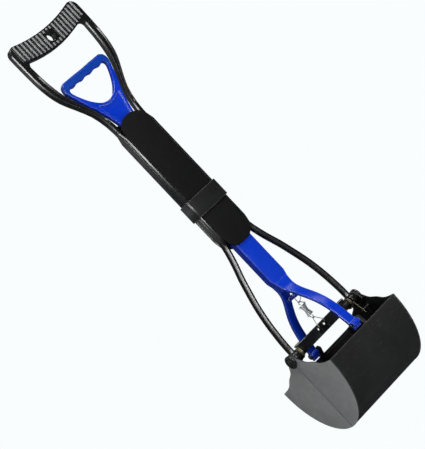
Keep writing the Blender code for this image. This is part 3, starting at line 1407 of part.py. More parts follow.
def build_torsion_springs():
    """Each closes one jaw: it rests on the cross bar and its long leg bears on that jaw's peg."""
    coil = []
    count = TORSION_TURNS * CURL_POINTS
    for index in range(count + 1):
        angle = math.radians(90) + 2 * math.pi * index / CURL_POINTS
        x = TORSION_START_X + TORSION_PITCH * TORSION_TURNS * index / count
        coil.append(Vector((x, -TORSION_RADIUS * math.cos(angle), TORSION_RADIUS * math.sin(angle))))
    coil = coil[: -CURL_POINTS // 4]
    rest_z = BAR_TOP_Z + FIT_GAP + TORSION_WIRE
    rest = [
        Vector((TORSION_REST_X, 0, rest_z)),
        Vector((TORSION_START_X - TORSION_WIRE * 3, 0, rest_z)),
        Vector((TORSION_START_X, -TORSION_WIRE, (rest_z + TORSION_RADIUS) / 2 + TORSION_WIRE)),
    ]
    leg_x = coil[-1].x
    foot_y = -(PEG_Y + PEG_RADIUS + FIT_GAP + TORSION_WIRE)
    leg = [
        Vector((leg_x, -TORSION_RADIUS - TORSION_WIRE, -TORSION_RADIUS / 2)),
        Vector((leg_x, foot_y, PEG_Z)),
        Vector((leg_x, foot_y - TORSION_WIRE, TORSION_LEG_Z)),
    ]
    points = rest + coil[1:] + leg
    print_least_gap("torsion_spring", points, TORSION_WIRE)
    mesh = baked(tube("torsion_wire", points, TORSION_WIRE))
    add_piece("right_torsion_spring", mesh, FRAME, ZINC_FINISH)
    add_piece("left_torsion_spring", mesh, FRAME, ZINC_FINISH, rotation=(0, 0, math.radians(180)))


def empty(name, parent, location=(0, 0, 0)):
    made = bpy.data.objects.new(name, None)
    PIECES.objects.link(made)
    made.parent = parent
    made.location = location
    return made


clear_scene()
PIECES = collection("pooper_scooper")
CUTTERS = collection("pooper_scooper_cutters", hidden=True)
PLASTIC = material("moulded_black", BLACK, 0.34)
COVER_FINISH = material("satin_black", BLACK, 0.5)
JAW_FINISH = material("jaw_black", JAW_BLACK, 0.42)
CAP_FINISH = material("cap_black", DARK_GREY, 0.38)
BLUE_FINISH = material("gloss_blue", BLUE, 0.25)
STEEL_FINISH = material("bright_steel", STEEL, 0.28, 1.0)
ZINC_FINISH = material("zinc_steel", ZINC, 0.35, 1.0)
SCREW_FINISH = material("dark_screw", DARK_STEEL, 0.35, 1.0)
BOLT_FINISH = material("dark_bolt", DARK_STEEL, 0.4, 1.0)

FRAME = empty("scooper", None, (0, 0, -HANG_HOLE_Z))
SLIDE = empty("trigger_slide", FRAME)
FRONT_HINGE = empty("front_jaw_hinge", FRAME)
BACK_HINGE = empty("back_jaw_hinge", FRAME)

build_upper_frame()
build_covers()
build_collar()
build_lower_frame()
build_pivots()
build_jaws()
build_fork()
build_trigger()
build_screws()
build_yokes(*build_closing_spring())
build_torsion_springs()
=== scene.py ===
"""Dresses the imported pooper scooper: its plastics and steels, its wire springs, the light and the camera."""

import json
import math

import bpy
from mathutils import Matrix, Vector

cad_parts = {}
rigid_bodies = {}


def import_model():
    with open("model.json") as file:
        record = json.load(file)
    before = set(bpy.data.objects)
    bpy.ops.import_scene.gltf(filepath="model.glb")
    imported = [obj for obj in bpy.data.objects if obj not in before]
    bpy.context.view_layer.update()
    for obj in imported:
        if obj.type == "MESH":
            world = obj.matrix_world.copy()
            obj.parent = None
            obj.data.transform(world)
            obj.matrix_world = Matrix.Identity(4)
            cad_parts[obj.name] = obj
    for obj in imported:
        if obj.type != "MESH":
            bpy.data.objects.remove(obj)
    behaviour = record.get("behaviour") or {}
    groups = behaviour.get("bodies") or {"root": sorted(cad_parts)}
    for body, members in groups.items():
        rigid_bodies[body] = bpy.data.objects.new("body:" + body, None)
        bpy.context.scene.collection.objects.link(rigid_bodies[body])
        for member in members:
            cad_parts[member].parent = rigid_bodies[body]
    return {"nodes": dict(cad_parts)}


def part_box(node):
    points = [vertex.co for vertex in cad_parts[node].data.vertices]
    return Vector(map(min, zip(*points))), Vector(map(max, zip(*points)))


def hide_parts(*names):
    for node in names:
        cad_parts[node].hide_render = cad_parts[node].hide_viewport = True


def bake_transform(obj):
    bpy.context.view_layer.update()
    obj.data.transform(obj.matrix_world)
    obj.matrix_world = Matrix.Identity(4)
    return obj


for leftover in list(bpy.data.objects):
    bpy.data.objects.remove(leftover)
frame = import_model()
bpy.context.view_layer.update()
NODES = frame["nodes"]

MM = 0.001

# The camera, as the photograph was taken: a long lens, level with the part's middle and rolled.
CAMERA_AIM = Vector((-16.9, -0.7, -347.2)) * MM
CAMERA_DISTANCE = 3300 * MM
CAMERA_AZIMUTH = -34.22
CAMERA_ELEVATION = 0.04
CAMERA_ROLL = 43.35
CAMERA_LENS = 188.94
CAMERA_SENSOR = 36.0

# The lights: name, azimuth, height, distance, size, power, and whether only reflections see it.
LIT_HEIGHT = -0.35
LIGHTS = (
    ("key", -6, 0.05, 2.4, (0.3, 1.0), 20.0, False),
    ("overhead", -12, 2.0, 1.5, (0.9, 0.9), 47.0, False),
    ("front_top", 48, 1.9, 2.2, (1.0, 1.0), 9.0, False),
    ("back_top", 150, 1.5, 2.6, (0.9, 0.9), 12.0, False),
    ("handle_card", -56, 0.2, 2.4, (0.5, 0.6), 24.0, True),
)

# The surroundings. Reflections see a dim room, with the backdrop bright behind and to the left, near the horizon.
BACKGROUND = (0.947, 0.982, 0.991)
WORLD_TINT = (0.96, 0.98, 1.0)
WORLD_LIGHT = 0.16
REFLECTED_ROOM = 0.045
REFLECTED_LEFT = 0.9
LEFT_FADE = (0.15, -0.55)
BACK_FADE = (0.3, 0.7)
HIGH_FADE = (0.05, 0.09)
HIGH_SHARE = 0.35
LOW_FADE = (-0.05, -0.01)
LOW_SHARE = 0.08

# The floor, which runs into the backdrop's colour between two distances from its middle.
REFLECTED_FLOOR = 0.10
FLOOR_Z = -950 * MM
FLOOR_RADIUS = 40.0
FLOOR_SIDES = 64
FLOOR_FADE_START = 0.35
FLOOR_FADE_END = 0.95
FLOOR_LIFT = 0.55
FLOOR_PALE = (0.90, 0.925, 0.935)
FLOOR_PALER = (0.93, 0.955, 0.96)

# Finishes, as linear colours.
MOULDED_BLACK = (0.0034, 0.0034, 0.0036)
MOULDED_DEEP = (0.0025, 0.0025, 0.0027)
COVER_BLACK = (0.0076, 0.0076, 0.0080)
COVER_DEEP = (0.0066, 0.0066, 0.0071)
COLLAR_BLACK = (0.0066, 0.0066, 0.0070)
COLLAR_DEEP = (0.0050, 0.0050, 0.0054)
JAW_BLACK = (0.0205, 0.0205, 0.0208)
JAW_DEEP = (0.0155, 0.0155, 0.0158)
# Painted light for the jaws' end plates, and painted shade for the jaws' insides.
JAW_PLATE_PAINTED_LIGHT = (0.34, 0.34, 0.34)
JAW_INSIDE_PAINTED_SHADE = (0.006, 0.006, 0.0062)
CAP_BLACK = (0.006, 0.006, 0.0064)
CAP_PALER = (0.007, 0.007, 0.0075)
# Painted highlight grey for the grip's rib tops, and painted shade for their flanks.
RIB_PAINTED_HIGHLIGHT = (0.27, 0.27, 0.274)
RIB_FLANK_PAINTED_SHADE = (0.0012, 0.0012, 0.0013)
BLUE = (0.0004, 0.036, 0.51)
BLUE_DEEP = (0.0005, 0.030, 0.48)
# A darker blue for the trigger's top bar.
BLUE_DARKER_BAR = (0.0032, 0.042, 0.30)
# Painted highlight colour for the blue parts' edges, also used for their scratches.
BLUE_PAINTED_HIGHLIGHT = (0.36, 0.44, 0.90)
BRIGHT_STEEL = (0.86, 0.87, 0.88)
BRIGHT_STAIN = (0.55, 0.55, 0.54)
ZINC = (0.24, 0.215, 0.13)
ZINC_STAIN = (0.14, 0.12, 0.07)
DARK_STEEL = (0.10, 0.10, 0.105)
DARK_STAIN = (0.05, 0.045, 0.04)
WEAR_GREY = (0.085, 0.085, 0.088)
DUST_GREY = (0.21, 0.20, 0.19)

# Where the grip, the trigger's bar and the jaws' end plates change their finish: painted highlight and shade on the
# grip's ribs, a darker bar, and painted light on the end plates.
GRIP_HEIGHT = 50 * MM
GRIP_FACE_Y = 5.6 * MM
RIB_TOP_Y = 8.9 * MM
DARKER_BAR_DEPTH = 15 * MM
DARKER_BAR_FADE = 12 * MM
PLATE_THICKNESS = 2.1 * MM

# Textures: how many of each mark there are to a metre.
FLOW_MARKS = 16
SHEEN_PATCHES = 45
DUST_PATCHES = 70
RUBBED_PATCHES = 90
STAINS = 260
DRAWN_LINES = 900
SCRATCHES_ALONG = (1500, 1500, 40)
SCRATCHES_ACROSS = (60, 1700, 1100)

# The pivots' middle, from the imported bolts.
low_corner, high_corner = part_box("right_pivot_bolt")
PIVOT_Z = (low_corner.z + high_corner.z) / 2


def link(tree, source, target):
    tree.links.new(source, target)


def add_node(tree, kind, **settings):
    made = tree.nodes.new(kind)
    for name, value in settings.items():
        setattr(made, name, value)
    return made


def coordinates(tree, stretch=(1, 1, 1)):
    """The place on the object in metres, stretched where a texture runs along one direction."""
    place = add_node(tree, "ShaderNodeTexCoord")
    mapping = add_node(tree, "ShaderNodeMapping")
    mapping.inputs["Scale"].default_value = stretch
    link(tree, place.outputs["Object"], mapping.inputs["Vector"])
    return mapping.outputs["Vector"]


def object_place(tree):
    """The node of the place on the object in metres, and that place split into its axes."""
    place = add_node(tree, "ShaderNodeTexCoord")
    split = add_node(tree, "ShaderNodeSeparateXYZ")
    link(tree, place.outputs["Object"], split.inputs["Vector"])
    return place, split.outputs


def surface_facing(tree):
    """The surface's direction, split into its axes."""
    geometry = add_node(tree, "ShaderNodeNewGeometry")
    split = add_node(tree, "ShaderNodeSeparateXYZ")
    link(tree, geometry.outputs["Normal"], split.inputs["Vector"])
    return split.outputs


def noise(tree, scale, detail=3.0, rough=0.55, stretch=(1, 1, 1)):
    made = add_node(tree, "ShaderNodeTexNoise")
    made.inputs["Scale"].default_value = scale
    made.inputs["Detail"].default_value = detail
    made.inputs["Roughness"].default_value = rough
    link(tree, coordinates(tree, stretch), made.inputs["Vector"])
    return made.outputs["Fac"]


def remap(tree, source, low, high, out_low=0.0, out_high=1.0):
    made = add_node(tree, "ShaderNodeMapRange")
    made.inputs["From Min"].default_value = low
    made.inputs["From Max"].default_value = high
    made.inputs["To Min"].default_value = out_low
    made.inputs["To Max"].default_value = out_high
    link(tree, source, made.inputs["Value"])
    return made.outputs["Result"]


def combine(tree, operation, first, second):
    made = add_node(tree, "ShaderNodeMath", operation=operation)
    for index, value in enumerate((first, second)):
        if isinstance(value, (int, float)):
            made.inputs[index].default_value = value
        else:
            link(tree, value, made.inputs[index])
    return made.outputs["Value"]


def blend_colours(tree, factor, first, second):
    made = add_node(tree, "ShaderNodeMix", data_type="RGBA")
    link(tree, factor, made.inputs["Factor"])
    for name, value in (("A", first), ("B", second)):
        target = [s for s in made.inputs if s.name == name and s.type == "RGBA"][0]
        if isinstance(value, tuple):
            target.default_value = (*value, 1.0)
        else:
            link(tree, value, target)
    return [s for s in made.outputs if s.type == "RGBA"][0]


def bump(tree, height, distance, strength=1.0, below=None):
    made = add_node(tree, "ShaderNodeBump")
    made.inputs["Distance"].default_value = distance
    made.inputs["Strength"].default_value = strength
    link(tree, height, made.inputs["Height"])
    if below is not None:
        link(tree, below, made.inputs["Normal"])
    return made.outputs["Normal"]


def rounded_normal(tree, radius):
    made = add_node(tree, "ShaderNodeBevel", samples=6)
    made.inputs["Radius"].default_value = radius
    return made.outputs["Normal"]


def edge_mask(tree, rounded, low=0.995, high=0.86):
    """1 where the surface bends within the rounding radius, 0 on flats."""
    geometry = add_node(tree, "ShaderNodeNewGeometry")
    dot = add_node(tree, "ShaderNodeVectorMath", operation="DOT_PRODUCT")
    link(tree, rounded, dot.inputs[0])
    link(tree, geometry.outputs["Normal"], dot.inputs[1])
    return remap(tree, dot.outputs["Value"], low, high)


def upward_mask(tree, low=0.35, high=0.95):
    """1 on surfaces that face up, where dust settles."""
    return remap(tree, surface_facing(tree)["Z"], low, high)


def new_material(name):
    made = bpy.data.materials.new(name)
    made.use_nodes = True
    shader = made.node_tree.nodes["Principled BSDF"]
    return made, made.node_tree, shader


def plastic(
    name,
    colour,
    second,
    roughness,
    specular,
    grain_size,
    grain_depth,
    rounding=0.35 * MM,
    wear_and_highlight=0.5,
    wear_and_highlight_colour=WEAR_GREY,
    scratches=0.5,
    dust=0.25,
    region=None,
    soft=None,
):
    """Moulded plastic: flow marks, a fine grain, fine scratches, rubbed edges that also serve as painted highlights,
    and a little dust.

    Edges are lightened within the rounding radius, as wear and, where a finish sets it strong, as a painted
    highlight. A region repaints a part of the surface, and soft is the radius to which the shading rounds the edges.
    """
    made, tree, shader = new_material(name)
    flow = noise(tree, FLOW_MARKS, 2.0, 0.5, (1, 1, 0.35))
    patches = noise(tree, DUST_PATCHES, 4.0, 0.6)
    base = blend_colours(tree, remap(tree, flow, 0.35, 0.65), colour, second)
    rounded = rounded_normal(tree, rounding)
    edges = edge_mask(tree, rounded)
    uneven = remap(tree, noise(tree, RUBBED_PATCHES, 3.0, 0.6), 0.3, 0.62, 0.45 * wear_and_highlight, wear_and_highlight)
    rubbed_and_highlit = combine(tree, "MULTIPLY", edges, uneven)
    base = blend_colours(tree, rubbed_and_highlit, base, wear_and_highlight_colour)
    if region is not None:
        base = region(tree, base)
    hairs = remap(tree, noise(tree, 1.0, 2.0, 0.5, SCRATCHES_ALONG), 0.655, 0.70, 0.0, scratches)
    crossing = remap(tree, noise(tree, 1.0, 2.0, 0.5, SCRATCHES_ACROSS), 0.67, 0.71, 0.0, scratches)
    marks = combine(tree, "MAXIMUM", hairs, crossing)
    base = blend_colours(tree, combine(tree, "MULTIPLY", marks, 0.35), base, wear_and_highlight_colour)
    settled = combine(tree, "MULTIPLY", upward_mask(tree), remap(tree, patches, 0.4, 0.75, 0.0, dust))
    base = blend_colours(tree, settled, base, DUST_GREY)
    link(tree, base, shader.inputs["Base Color"])
    rough = remap(tree, noise(tree, SHEEN_PATCHES, 2.0, 0.5), 0.3, 0.7, roughness - 0.02, roughness + 0.03)
    rough = combine(tree, "ADD", rough, combine(tree, "MULTIPLY", marks, 0.16))
    rough = combine(tree, "ADD", rough, combine(tree, "MULTIPLY", settled, 0.5))
    rough = combine(tree, "ADD", rough, combine(tree, "MULTIPLY", rubbed_and_highlit, 0.12))
    link(tree, rough, shader.inputs["Roughness"])
    shader.inputs["Specular IOR Level"].default_value = specular
    softened = None if soft is None else rounded_normal(tree, soft)
    waves = bump(tree, flow, 0.35 * MM, 0.25, softened)
    grain = bump(tree, noise(tree, 1.0 / grain_size, 3.0, 0.6), grain_depth, 0.7, waves)
    link(tree, bump(tree, combine(tree, "MULTIPLY", marks, -1.0), 0.004 * MM, 0.5, grain), shader.inputs["Normal"])
    return made


def metal(name, colour, second, roughness, drawn=(1, 1, 1), rounding=0.15 * MM, stain=0.3, metallic=1.0):
    """Steel: drawn or turned marks, thin stains and slightly duller patches."""
    made, tree, shader = new_material(name)
    patches = noise(tree, STAINS, 4.0, 0.65)
    lines = noise(tree, DRAWN_LINES, 3.0, 0.6, drawn)
    base = blend_colours(tree, remap(tree, patches, 0.35, 0.7, 0.0, stain), colour, second)
    link(tree, base, shader.inputs["Base Color"])
    shader.inputs["Metallic"].default_value = metallic
    rough = remap(tree, patches, 0.3, 0.75, roughness - 0.05, roughness + 0.13)
    link(tree, rough, shader.inputs["Roughness"])
    rounded = rounded_normal(tree, rounding)
    link(tree, bump(tree, lines, 0.006 * MM, 0.5, rounded), shader.inputs["Normal"])
    return made


def painted_plate_light_and_inside_shade(tree, base):
    """The jaws' flat end plates are painted paler than their shells, a painted light as from a lamp at their side,
    and their insides are painted darkest, a painted shade.
    """
    place, axes = object_place(tree)
    out = combine(tree, "ABSOLUTE", axes["X"], 0.0)
    sideways = combine(tree, "ABSOLUTE", surface_facing(tree)["X"], 0.0)
    low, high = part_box("front_jaw")
    outward = add_node(tree, "ShaderNodeVectorMath", operation="DOT_PRODUCT")
    link(tree, place.outputs["Normal"], outward.inputs[0])
    from_middle = add_node(tree, "ShaderNodeVectorMath", operation="SUBTRACT")
    link(tree, place.outputs["Object"], from_middle.inputs[0])
    from_middle.inputs[1].default_value = (0, 0, (low.z + high.z) / 2)
    link(tree, from_middle.outputs["Vector"], outward.inputs[1])
    plate_x = high.x - PLATE_THICKNESS
    at_the_end = remap(tree, out, plate_x - 0.3 * MM, plate_x)
    plate = combine(tree, "MULTIPLY", at_the_end, remap(tree, sideways, 0.6, 0.85))
    mottle = remap(tree, noise(tree, 110, 4.0, 0.6), 0.3, 0.7, 0.82, 1.0)
    base = blend_colours(tree, combine(tree, "MULTIPLY", plate, mottle), base, JAW_PLATE_PAINTED_LIGHT)
    return blend_colours(tree, remap(tree, outward.outputs["Value"], 0.0, -2 * MM), base, JAW_INSIDE_PAINTED_SHADE)


def darker_bar_region(tree, base):
    """The trigger's top bar is painted a darker, duller blue."""
    axes = object_place(tree)[1]
    bar_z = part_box("trigger_handle")[1].z - DARKER_BAR_DEPTH
    bar = remap(tree, axes["Z"], bar_z - DARKER_BAR_FADE, bar_z)
    mottle = remap(tree, noise(tree, 60, 3.0, 0.6), 0.3, 0.7, 0.75, 1.0)
    return blend_colours(tree, combine(tree, "MULTIPLY", bar, mottle), base, BLUE_DARKER_BAR)


def painted_rib_highlight_and_shade(tree, base):
    """The tops of the grip's ribs are painted grey, a painted highlight, and their flanks down into the gaps between
    them are painted near black, a painted shade.
    """
    axes = object_place(tree)[1]
    out = combine(tree, "ABSOLUTE", axes["Y"], 0.0)
    grip_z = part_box("upper_frame")[1].z - GRIP_HEIGHT
    grip = remap(tree, axes["Z"], grip_z - 2 * MM, grip_z)
    proud = combine(tree, "MULTIPLY", grip, remap(tree, out, GRIP_FACE_Y, GRIP_FACE_Y + 0.2 * MM))
    base = blend_colours(tree, proud, base, RIB_FLANK_PAINTED_SHADE)
    top = combine(tree, "MULTIPLY", grip, remap(tree, out, RIB_TOP_Y - 0.6 * MM, RIB_TOP_Y - 0.35 * MM))
    mottle = remap(tree, noise(tree, 420, 3.0, 0.6), 0.3, 0.7, 0.8, 1.0)
    return blend_colours(tree, combine(tree, "MULTIPLY", top, mottle), base, RIB_PAINTED_HIGHLIGHT)


# One finish for each material slot, and three for nodes that differ from their slot's.
FINISHES = {
    "black_plastic": plastic(
        "moulded_black", MOULDED_BLACK, MOULDED_DEEP, 0.27, 0.8, 0.45 * MM, 0.0012 * MM,
        wear_and_highlight=0.4, wear_and_highlight_colour=(0.12, 0.12, 0.125), scratches=0.2, dust=0.05,
    ),
    # Edges lightened over a wide rounding: wear plus a painted highlight along them.
    "upper_frame": plastic(
        "handle_black", MOULDED_BLACK, MOULDED_DEEP, 0.27, 0.7, 0.45 * MM, 0.0012 * MM,
        rounding=0.9 * MM, wear_and_highlight=0.5, wear_and_highlight_colour=(0.20, 0.20, 0.205), scratches=0.2, dust=0.05,
        region=painted_rib_highlight_and_shade,
    ),
    "cover_plastic": plastic(
        "satin_black", COVER_BLACK, COVER_DEEP, 0.60, 0.08, 0.55 * MM, 0.02 * MM,
        wear_and_highlight=0.2, scratches=0.15, dust=0.05,
    ),
    # Edges lightened over a wide rounding: wear plus a painted highlight along them.
    "collar": plastic(
        "collar_black", COLLAR_BLACK, COLLAR_DEEP, 0.30, 1.0, 0.5 * MM, 0.004 * MM,
        rounding=1.6 * MM, wear_and_highlight=1.0, wear_and_highlight_colour=(0.16, 0.16, 0.162), scratches=0.15, dust=0.05,
    ),
    "cap_plastic": plastic(
        "cap_black", CAP_BLACK, CAP_PALER, 0.22, 0.9, 0.4 * MM, 0.003 * MM,
        scratches=0.2, dust=0.05,
    ),
    # Edges lightened to pale grey: wear plus a painted highlight along each end plate's arris.
    "jaw_plastic": plastic(
        "jaw_black", JAW_BLACK, JAW_DEEP, 0.48, 0.12, 0.6 * MM, 0.010 * MM,
        rounding=1.1 * MM, wear_and_highlight=0.9, wear_and_highlight_colour=(0.30, 0.30, 0.30), scratches=0.22, dust=0.05,
        region=painted_plate_light_and_inside_shade,
    ),
    # Both blue finishes lighten their edges fully: wear plus a painted highlight along them.
    "blue_plastic": plastic(
        "gloss_blue", BLUE, BLUE_DEEP, 0.23, 0.40, 0.45 * MM, 0.002 * MM,
        rounding=1.2 * MM, wear_and_highlight=1.0, wear_and_highlight_colour=BLUE_PAINTED_HIGHLIGHT, scratches=0.12, dust=0.02, soft=1.8 * MM,
    ),
    "trigger_handle": plastic(
        "trigger_blue", BLUE, BLUE_DEEP, 0.23, 0.40, 0.45 * MM, 0.002 * MM,
        rounding=1.2 * MM, wear_and_highlight=1.0, wear_and_highlight_colour=BLUE_PAINTED_HIGHLIGHT, scratches=0.12, dust=0.02, soft=3.5 * MM,
        region=darker_bar_region,
    ),
    "bright_steel": metal("bright_steel", BRIGHT_STEEL, BRIGHT_STAIN, 0.32, (1, 1, 0.1), metallic=0.75),
    "zinc_steel": metal("zinc_steel", ZINC, ZINC_STAIN, 0.36, (0.1, 1, 1), metallic=0.85),
    "dark_steel": metal("dark_steel", DARK_STEEL, DARK_STAIN, 0.34),
}

# Corners closer than the weld are joined. Edges below FLAT_ANGLE go, and those over EDGE_ANGLE get soft edges.
WELD_DISTANCE = 0.004 * MM
FLAT_ANGLE = math.radians(0.6)
EDGE_ANGLE = math.radians(40)
# Edges are shaded smooth below one of these, in degrees: flat mouldings and round pieces.
FLAT_SHADING = 32
ROUND_SHADING = 50


def smoothing_group(name, weld, angle):
    """Joins the split corners where weld is set, and shades every edge flatter than the angle as smooth."""
    tree = bpy.data.node_groups.new(name, "GeometryNodeTree")
    tree.interface.new_socket("Geometry", in_out="INPUT", socket_type="NodeSocketGeometry")
    tree.interface.new_socket("Geometry", in_out="OUTPUT", socket_type="NodeSocketGeometry")
    entry = tree.nodes.new("NodeGroupInput")
    exit_node = tree.nodes.new("NodeGroupOutput")
    chain = entry.outputs["Geometry"]
    if weld:
        bare = tree.nodes.new("GeometryNodeRemoveAttribute")
        bare.inputs["Name"].default_value = "custom_normal"
        link(tree, chain, bare.inputs["Geometry"])
        merged = tree.nodes.new("GeometryNodeMergeByDistance")
        merged.inputs["Distance"].default_value = WELD_DISTANCE
        link(tree, bare.outputs["Geometry"], merged.inputs["Geometry"])
        chain = merged.outputs["Geometry"]
    if angle is not None:
        bend = tree.nodes.new("GeometryNodeInputMeshEdgeAngle")
        flatter = tree.nodes.new("FunctionNodeCompare")
        flatter.operation = "LESS_EQUAL"
        flatter.inputs["B"].default_value = math.radians(angle)
        link(tree, bend.outputs["Unsigned Angle"], flatter.inputs["A"])
        edges = tree.nodes.new("GeometryNodeSetShadeSmooth")
        edges.domain = "EDGE"
        link(tree, chain, edges.inputs["Geometry"])
        link(tree, flatter.outputs["Result"], edges.inputs["Shade Smooth"])
        faces = tree.nodes.new("GeometryNodeSetShadeSmooth")
        faces.domain = "FACE"
        faces.inputs["Shade Smooth"].default_value = True
        link(tree, edges.outputs["Geometry"], faces.inputs["Geometry"])
        chain = faces.outputs["Geometry"]
    link(tree, chain, exit_node.inputs["Geometry"])
    return tree


WELD = smoothing_group("join_corners", True, None)
SMOOTH = {angle: smoothing_group(f"smooth_below_{angle}", False, angle) for angle in (FLAT_SHADING, ROUND_SHADING)}


def run_group(obj, group):
    made = obj.modifiers.new(group.name, "NODES")
    made.node_group = group


def dress(obj, angle=FLAT_SHADING, edge=0.3 * MM, segments=2):
    """Gives a CAD node soft edges and smooth curves. Its own mesh stays as packed."""
    run_group(obj, WELD)
    flat = obj.modifiers.new("flats", "DECIMATE")
    flat.decimate_type = "DISSOLVE"
    flat.angle_limit = FLAT_ANGLE
    if edge:
        bevel = obj.modifiers.new("edges", "BEVEL")
        bevel.width = edge
        bevel.segments = segments
        bevel.limit_method = "ANGLE"
        bevel.angle_limit = EDGE_ANGLE
        bevel.use_clamp_overlap = True
    run_group(obj, SMOOTH[angle])


# Turned and bent pieces have no soft edges, and the big mouldings have wider ones.
ROUND_NODES = ("link_pin", "pin_clip", "pivot_bolt", "pivot_cap", "screw", "yoke")
SOFT_NODES = {"upper_frame": 0.7 * MM, "lower_frame": 0.6 * MM, "trigger_handle": 0.8 * MM, "pull_fork": 0.8 * MM}
for node_name, node in NODES.items():
    slot_name = node.material_slots[0].material.name
    node.material_slots[0].material = FINISHES.get(node_name, FINISHES[slot_name])
    if any(word in node_name for word in ROUND_NODES):
        dress(node, ROUND_SHADING, 0)
    elif node_name in SOFT_NODES:
        dress(node, ROUND_SHADING, SOFT_NODES[node_name], 3)
    else:
        dress(node)


# Wire springs. Their routes and sizes repeat the CAD springs', with finer turns.
FIT_GAP = 0.3 * MM
FINE_POINTS = 28
WIRE_SIDES = 12
DOME_SHARES = (0.95, 0.75, 0.4)

CLOSER_WIRE = 0.7 * MM
CLOSER_LOW_RADIUS = 5.0 * MM
CLOSER_WAIST_RADIUS = 2.9 * MM
CLOSER_HIGH_RADIUS = 6.2 * MM
CLOSER_TAPER = 1.5
CLOSER_LOW_Z = 27.2 * MM
CLOSER_HIGH_Z = 45.6 * MM
CLOSER_TURNS = 9.75
CLOSER_EYE_RADIUS = 2.6 * MM
CLOSER_EYE_REACH = 3.7 * MM
CLOSER_EYE_START = -140
CLOSER_EYE_SWEEP = 218
CLOSER_EYE_STEPS = 12

TORSION_WIRE = 0.7 * MM
TORSION_RADIUS = 8.0 * MM
TORSION_TURNS = 3
TORSION_PITCH = 1.84 * MM
TORSION_REST_LENGTH = 13.2 * MM
TORSION_LEG_Z = -25.0 * MM
BAR_TOP_Z = 11.0 * MM
PEG_Y = 10.6 * MM
PEG_Z = -21.0 * MM
PEG_RADIUS = 2.2 * MM

PIVOT = Vector((0, 0, PIVOT_Z))
TORSION_REST_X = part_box("right_torsion_spring")[0].x
TORSION_START_X = TORSION_REST_X + TORSION_REST_LENGTH


def wire(name, points, radius, sides, material):
    """A closed round tube along the points, with domed ends, as one mesh."""
    points = [Vector(p) for p in points]
    tangents = []
    for index in range(len(points)):
        before = points[max(index - 1, 0)]
        after = points[min(index + 1, len(points) - 1)]
        tangents.append((after - before).normalized())
    normal = tangents[0].orthogonal().normalized()
    rings = []

    def ring(centre, tangent, size):
        across = tangent.cross(normal).normalized()
        circle = []
        for side in range(sides):
            angle = 2 * math.pi * side / sides
            circle.append(centre + (normal * math.cos(angle) + across * math.sin(angle)) * size)
        return circle

    for share in DOME_SHARES:
        rings.append(ring(points[0] - tangents[0] * radius * share, tangents[0], radius * math.sqrt(1 - share**2)))
    for centre, tangent in zip(points, tangents):
        normal = (normal - tangent * normal.dot(tangent)).normalized()
        rings.append(ring(centre, tangent, radius))
    for share in reversed(DOME_SHARES):
        rings.append(ring(points[-1] + tangents[-1] * radius * share, tangents[-1], radius * math.sqrt(1 - share**2)))
    vertices = [corner for circle in rings for corner in circle]
    faces = [tuple(range(sides - 1, -1, -1))]
    for index in range(len(rings) - 1):
        for side in range(sides):
            after = (side + 1) % sides
            start = index * sides
            faces.append((start + side, start + after, start + sides + after, start + sides + side))
    faces.append(tuple(range((len(rings) - 1) * sides, len(rings) * sides)))
    mesh = bpy.data.meshes.new(name)
    mesh.from_pydata(vertices, [], faces)
    mesh.shade_smooth()
    mesh.materials.append(material)
    made = bpy.data.objects.new(name, mesh)
    bpy.context.scene.collection.objects.link(made)
    return made


def through(points, steps):
    """A smooth line through the points."""
    points = [Vector(p) for p in points]
    ends = [points[0] * 2 - points[1]] + points + [points[-1] * 2 - points[-2]]
    line = []
    for index in range(1, len(ends) - 2):
        a, b, c, d = ends[index - 1:index + 3]
        for step in range(steps):
            t = step / steps
            line.append(0.5 * ((2 * b) + (c - a) * t + (2 * a - 5 * b + 4 * c - d) * t**2
                               + (3 * b - a - 3 * c + d) * t**3))
    line.append(points[-1])
    return line


def eye(centre_z, upwards, turned):
    """An open loop of wire at an end of the closing spring, in the plane across X or across Y."""
    points = []
    for step in range(CLOSER_EYE_STEPS + 1):
        angle = math.radians(CLOSER_EYE_START + CLOSER_EYE_SWEEP * step / CLOSER_EYE_STEPS)
        across = CLOSER_EYE_RADIUS * math.sin(angle)
        z = centre_z + upwards * CLOSER_EYE_RADIUS * math.cos(angle)
        points.append(Vector((across, 0, z)) if turned else Vector((0, across, z)))
    return points


def closing_spring():
    """The hourglass coil and its two eyes, about the pivots' middle."""
    low_eye_z = CLOSER_LOW_Z - CLOSER_EYE_REACH
    high_eye_z = CLOSER_HIGH_Z + CLOSER_EYE_REACH
    count = round(CLOSER_TURNS * FINE_POINTS)
    coil = []
    for index in range(count + 1):
        angle = math.radians(90) + 2 * math.pi * index / FINE_POINTS
        up = index / count
        end_radius = CLOSER_LOW_RADIUS if up < 0.5 else CLOSER_HIGH_RADIUS
        radius = CLOSER_WAIST_RADIUS + (end_radius - CLOSER_WAIST_RADIUS) * abs(2 * up - 1) ** CLOSER_TAPER
        z = CLOSER_LOW_Z + (CLOSER_HIGH_Z - CLOSER_LOW_Z) * up
        coil.append(Vector((radius * math.cos(angle), radius * math.sin(angle), z)))
    return low_eye_z, high_eye_z, eye(low_eye_z, -1, False) + coil + list(reversed(eye(high_eye_z, 1, True)))


low_eye_z, high_eye_z, closer_path = closing_spring()
closer = wire("closing_coil", [p + PIVOT for p in closer_path], CLOSER_WIRE, WIRE_SIDES, FINISHES["bright_steel"])
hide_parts("closing_spring")
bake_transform(closer)


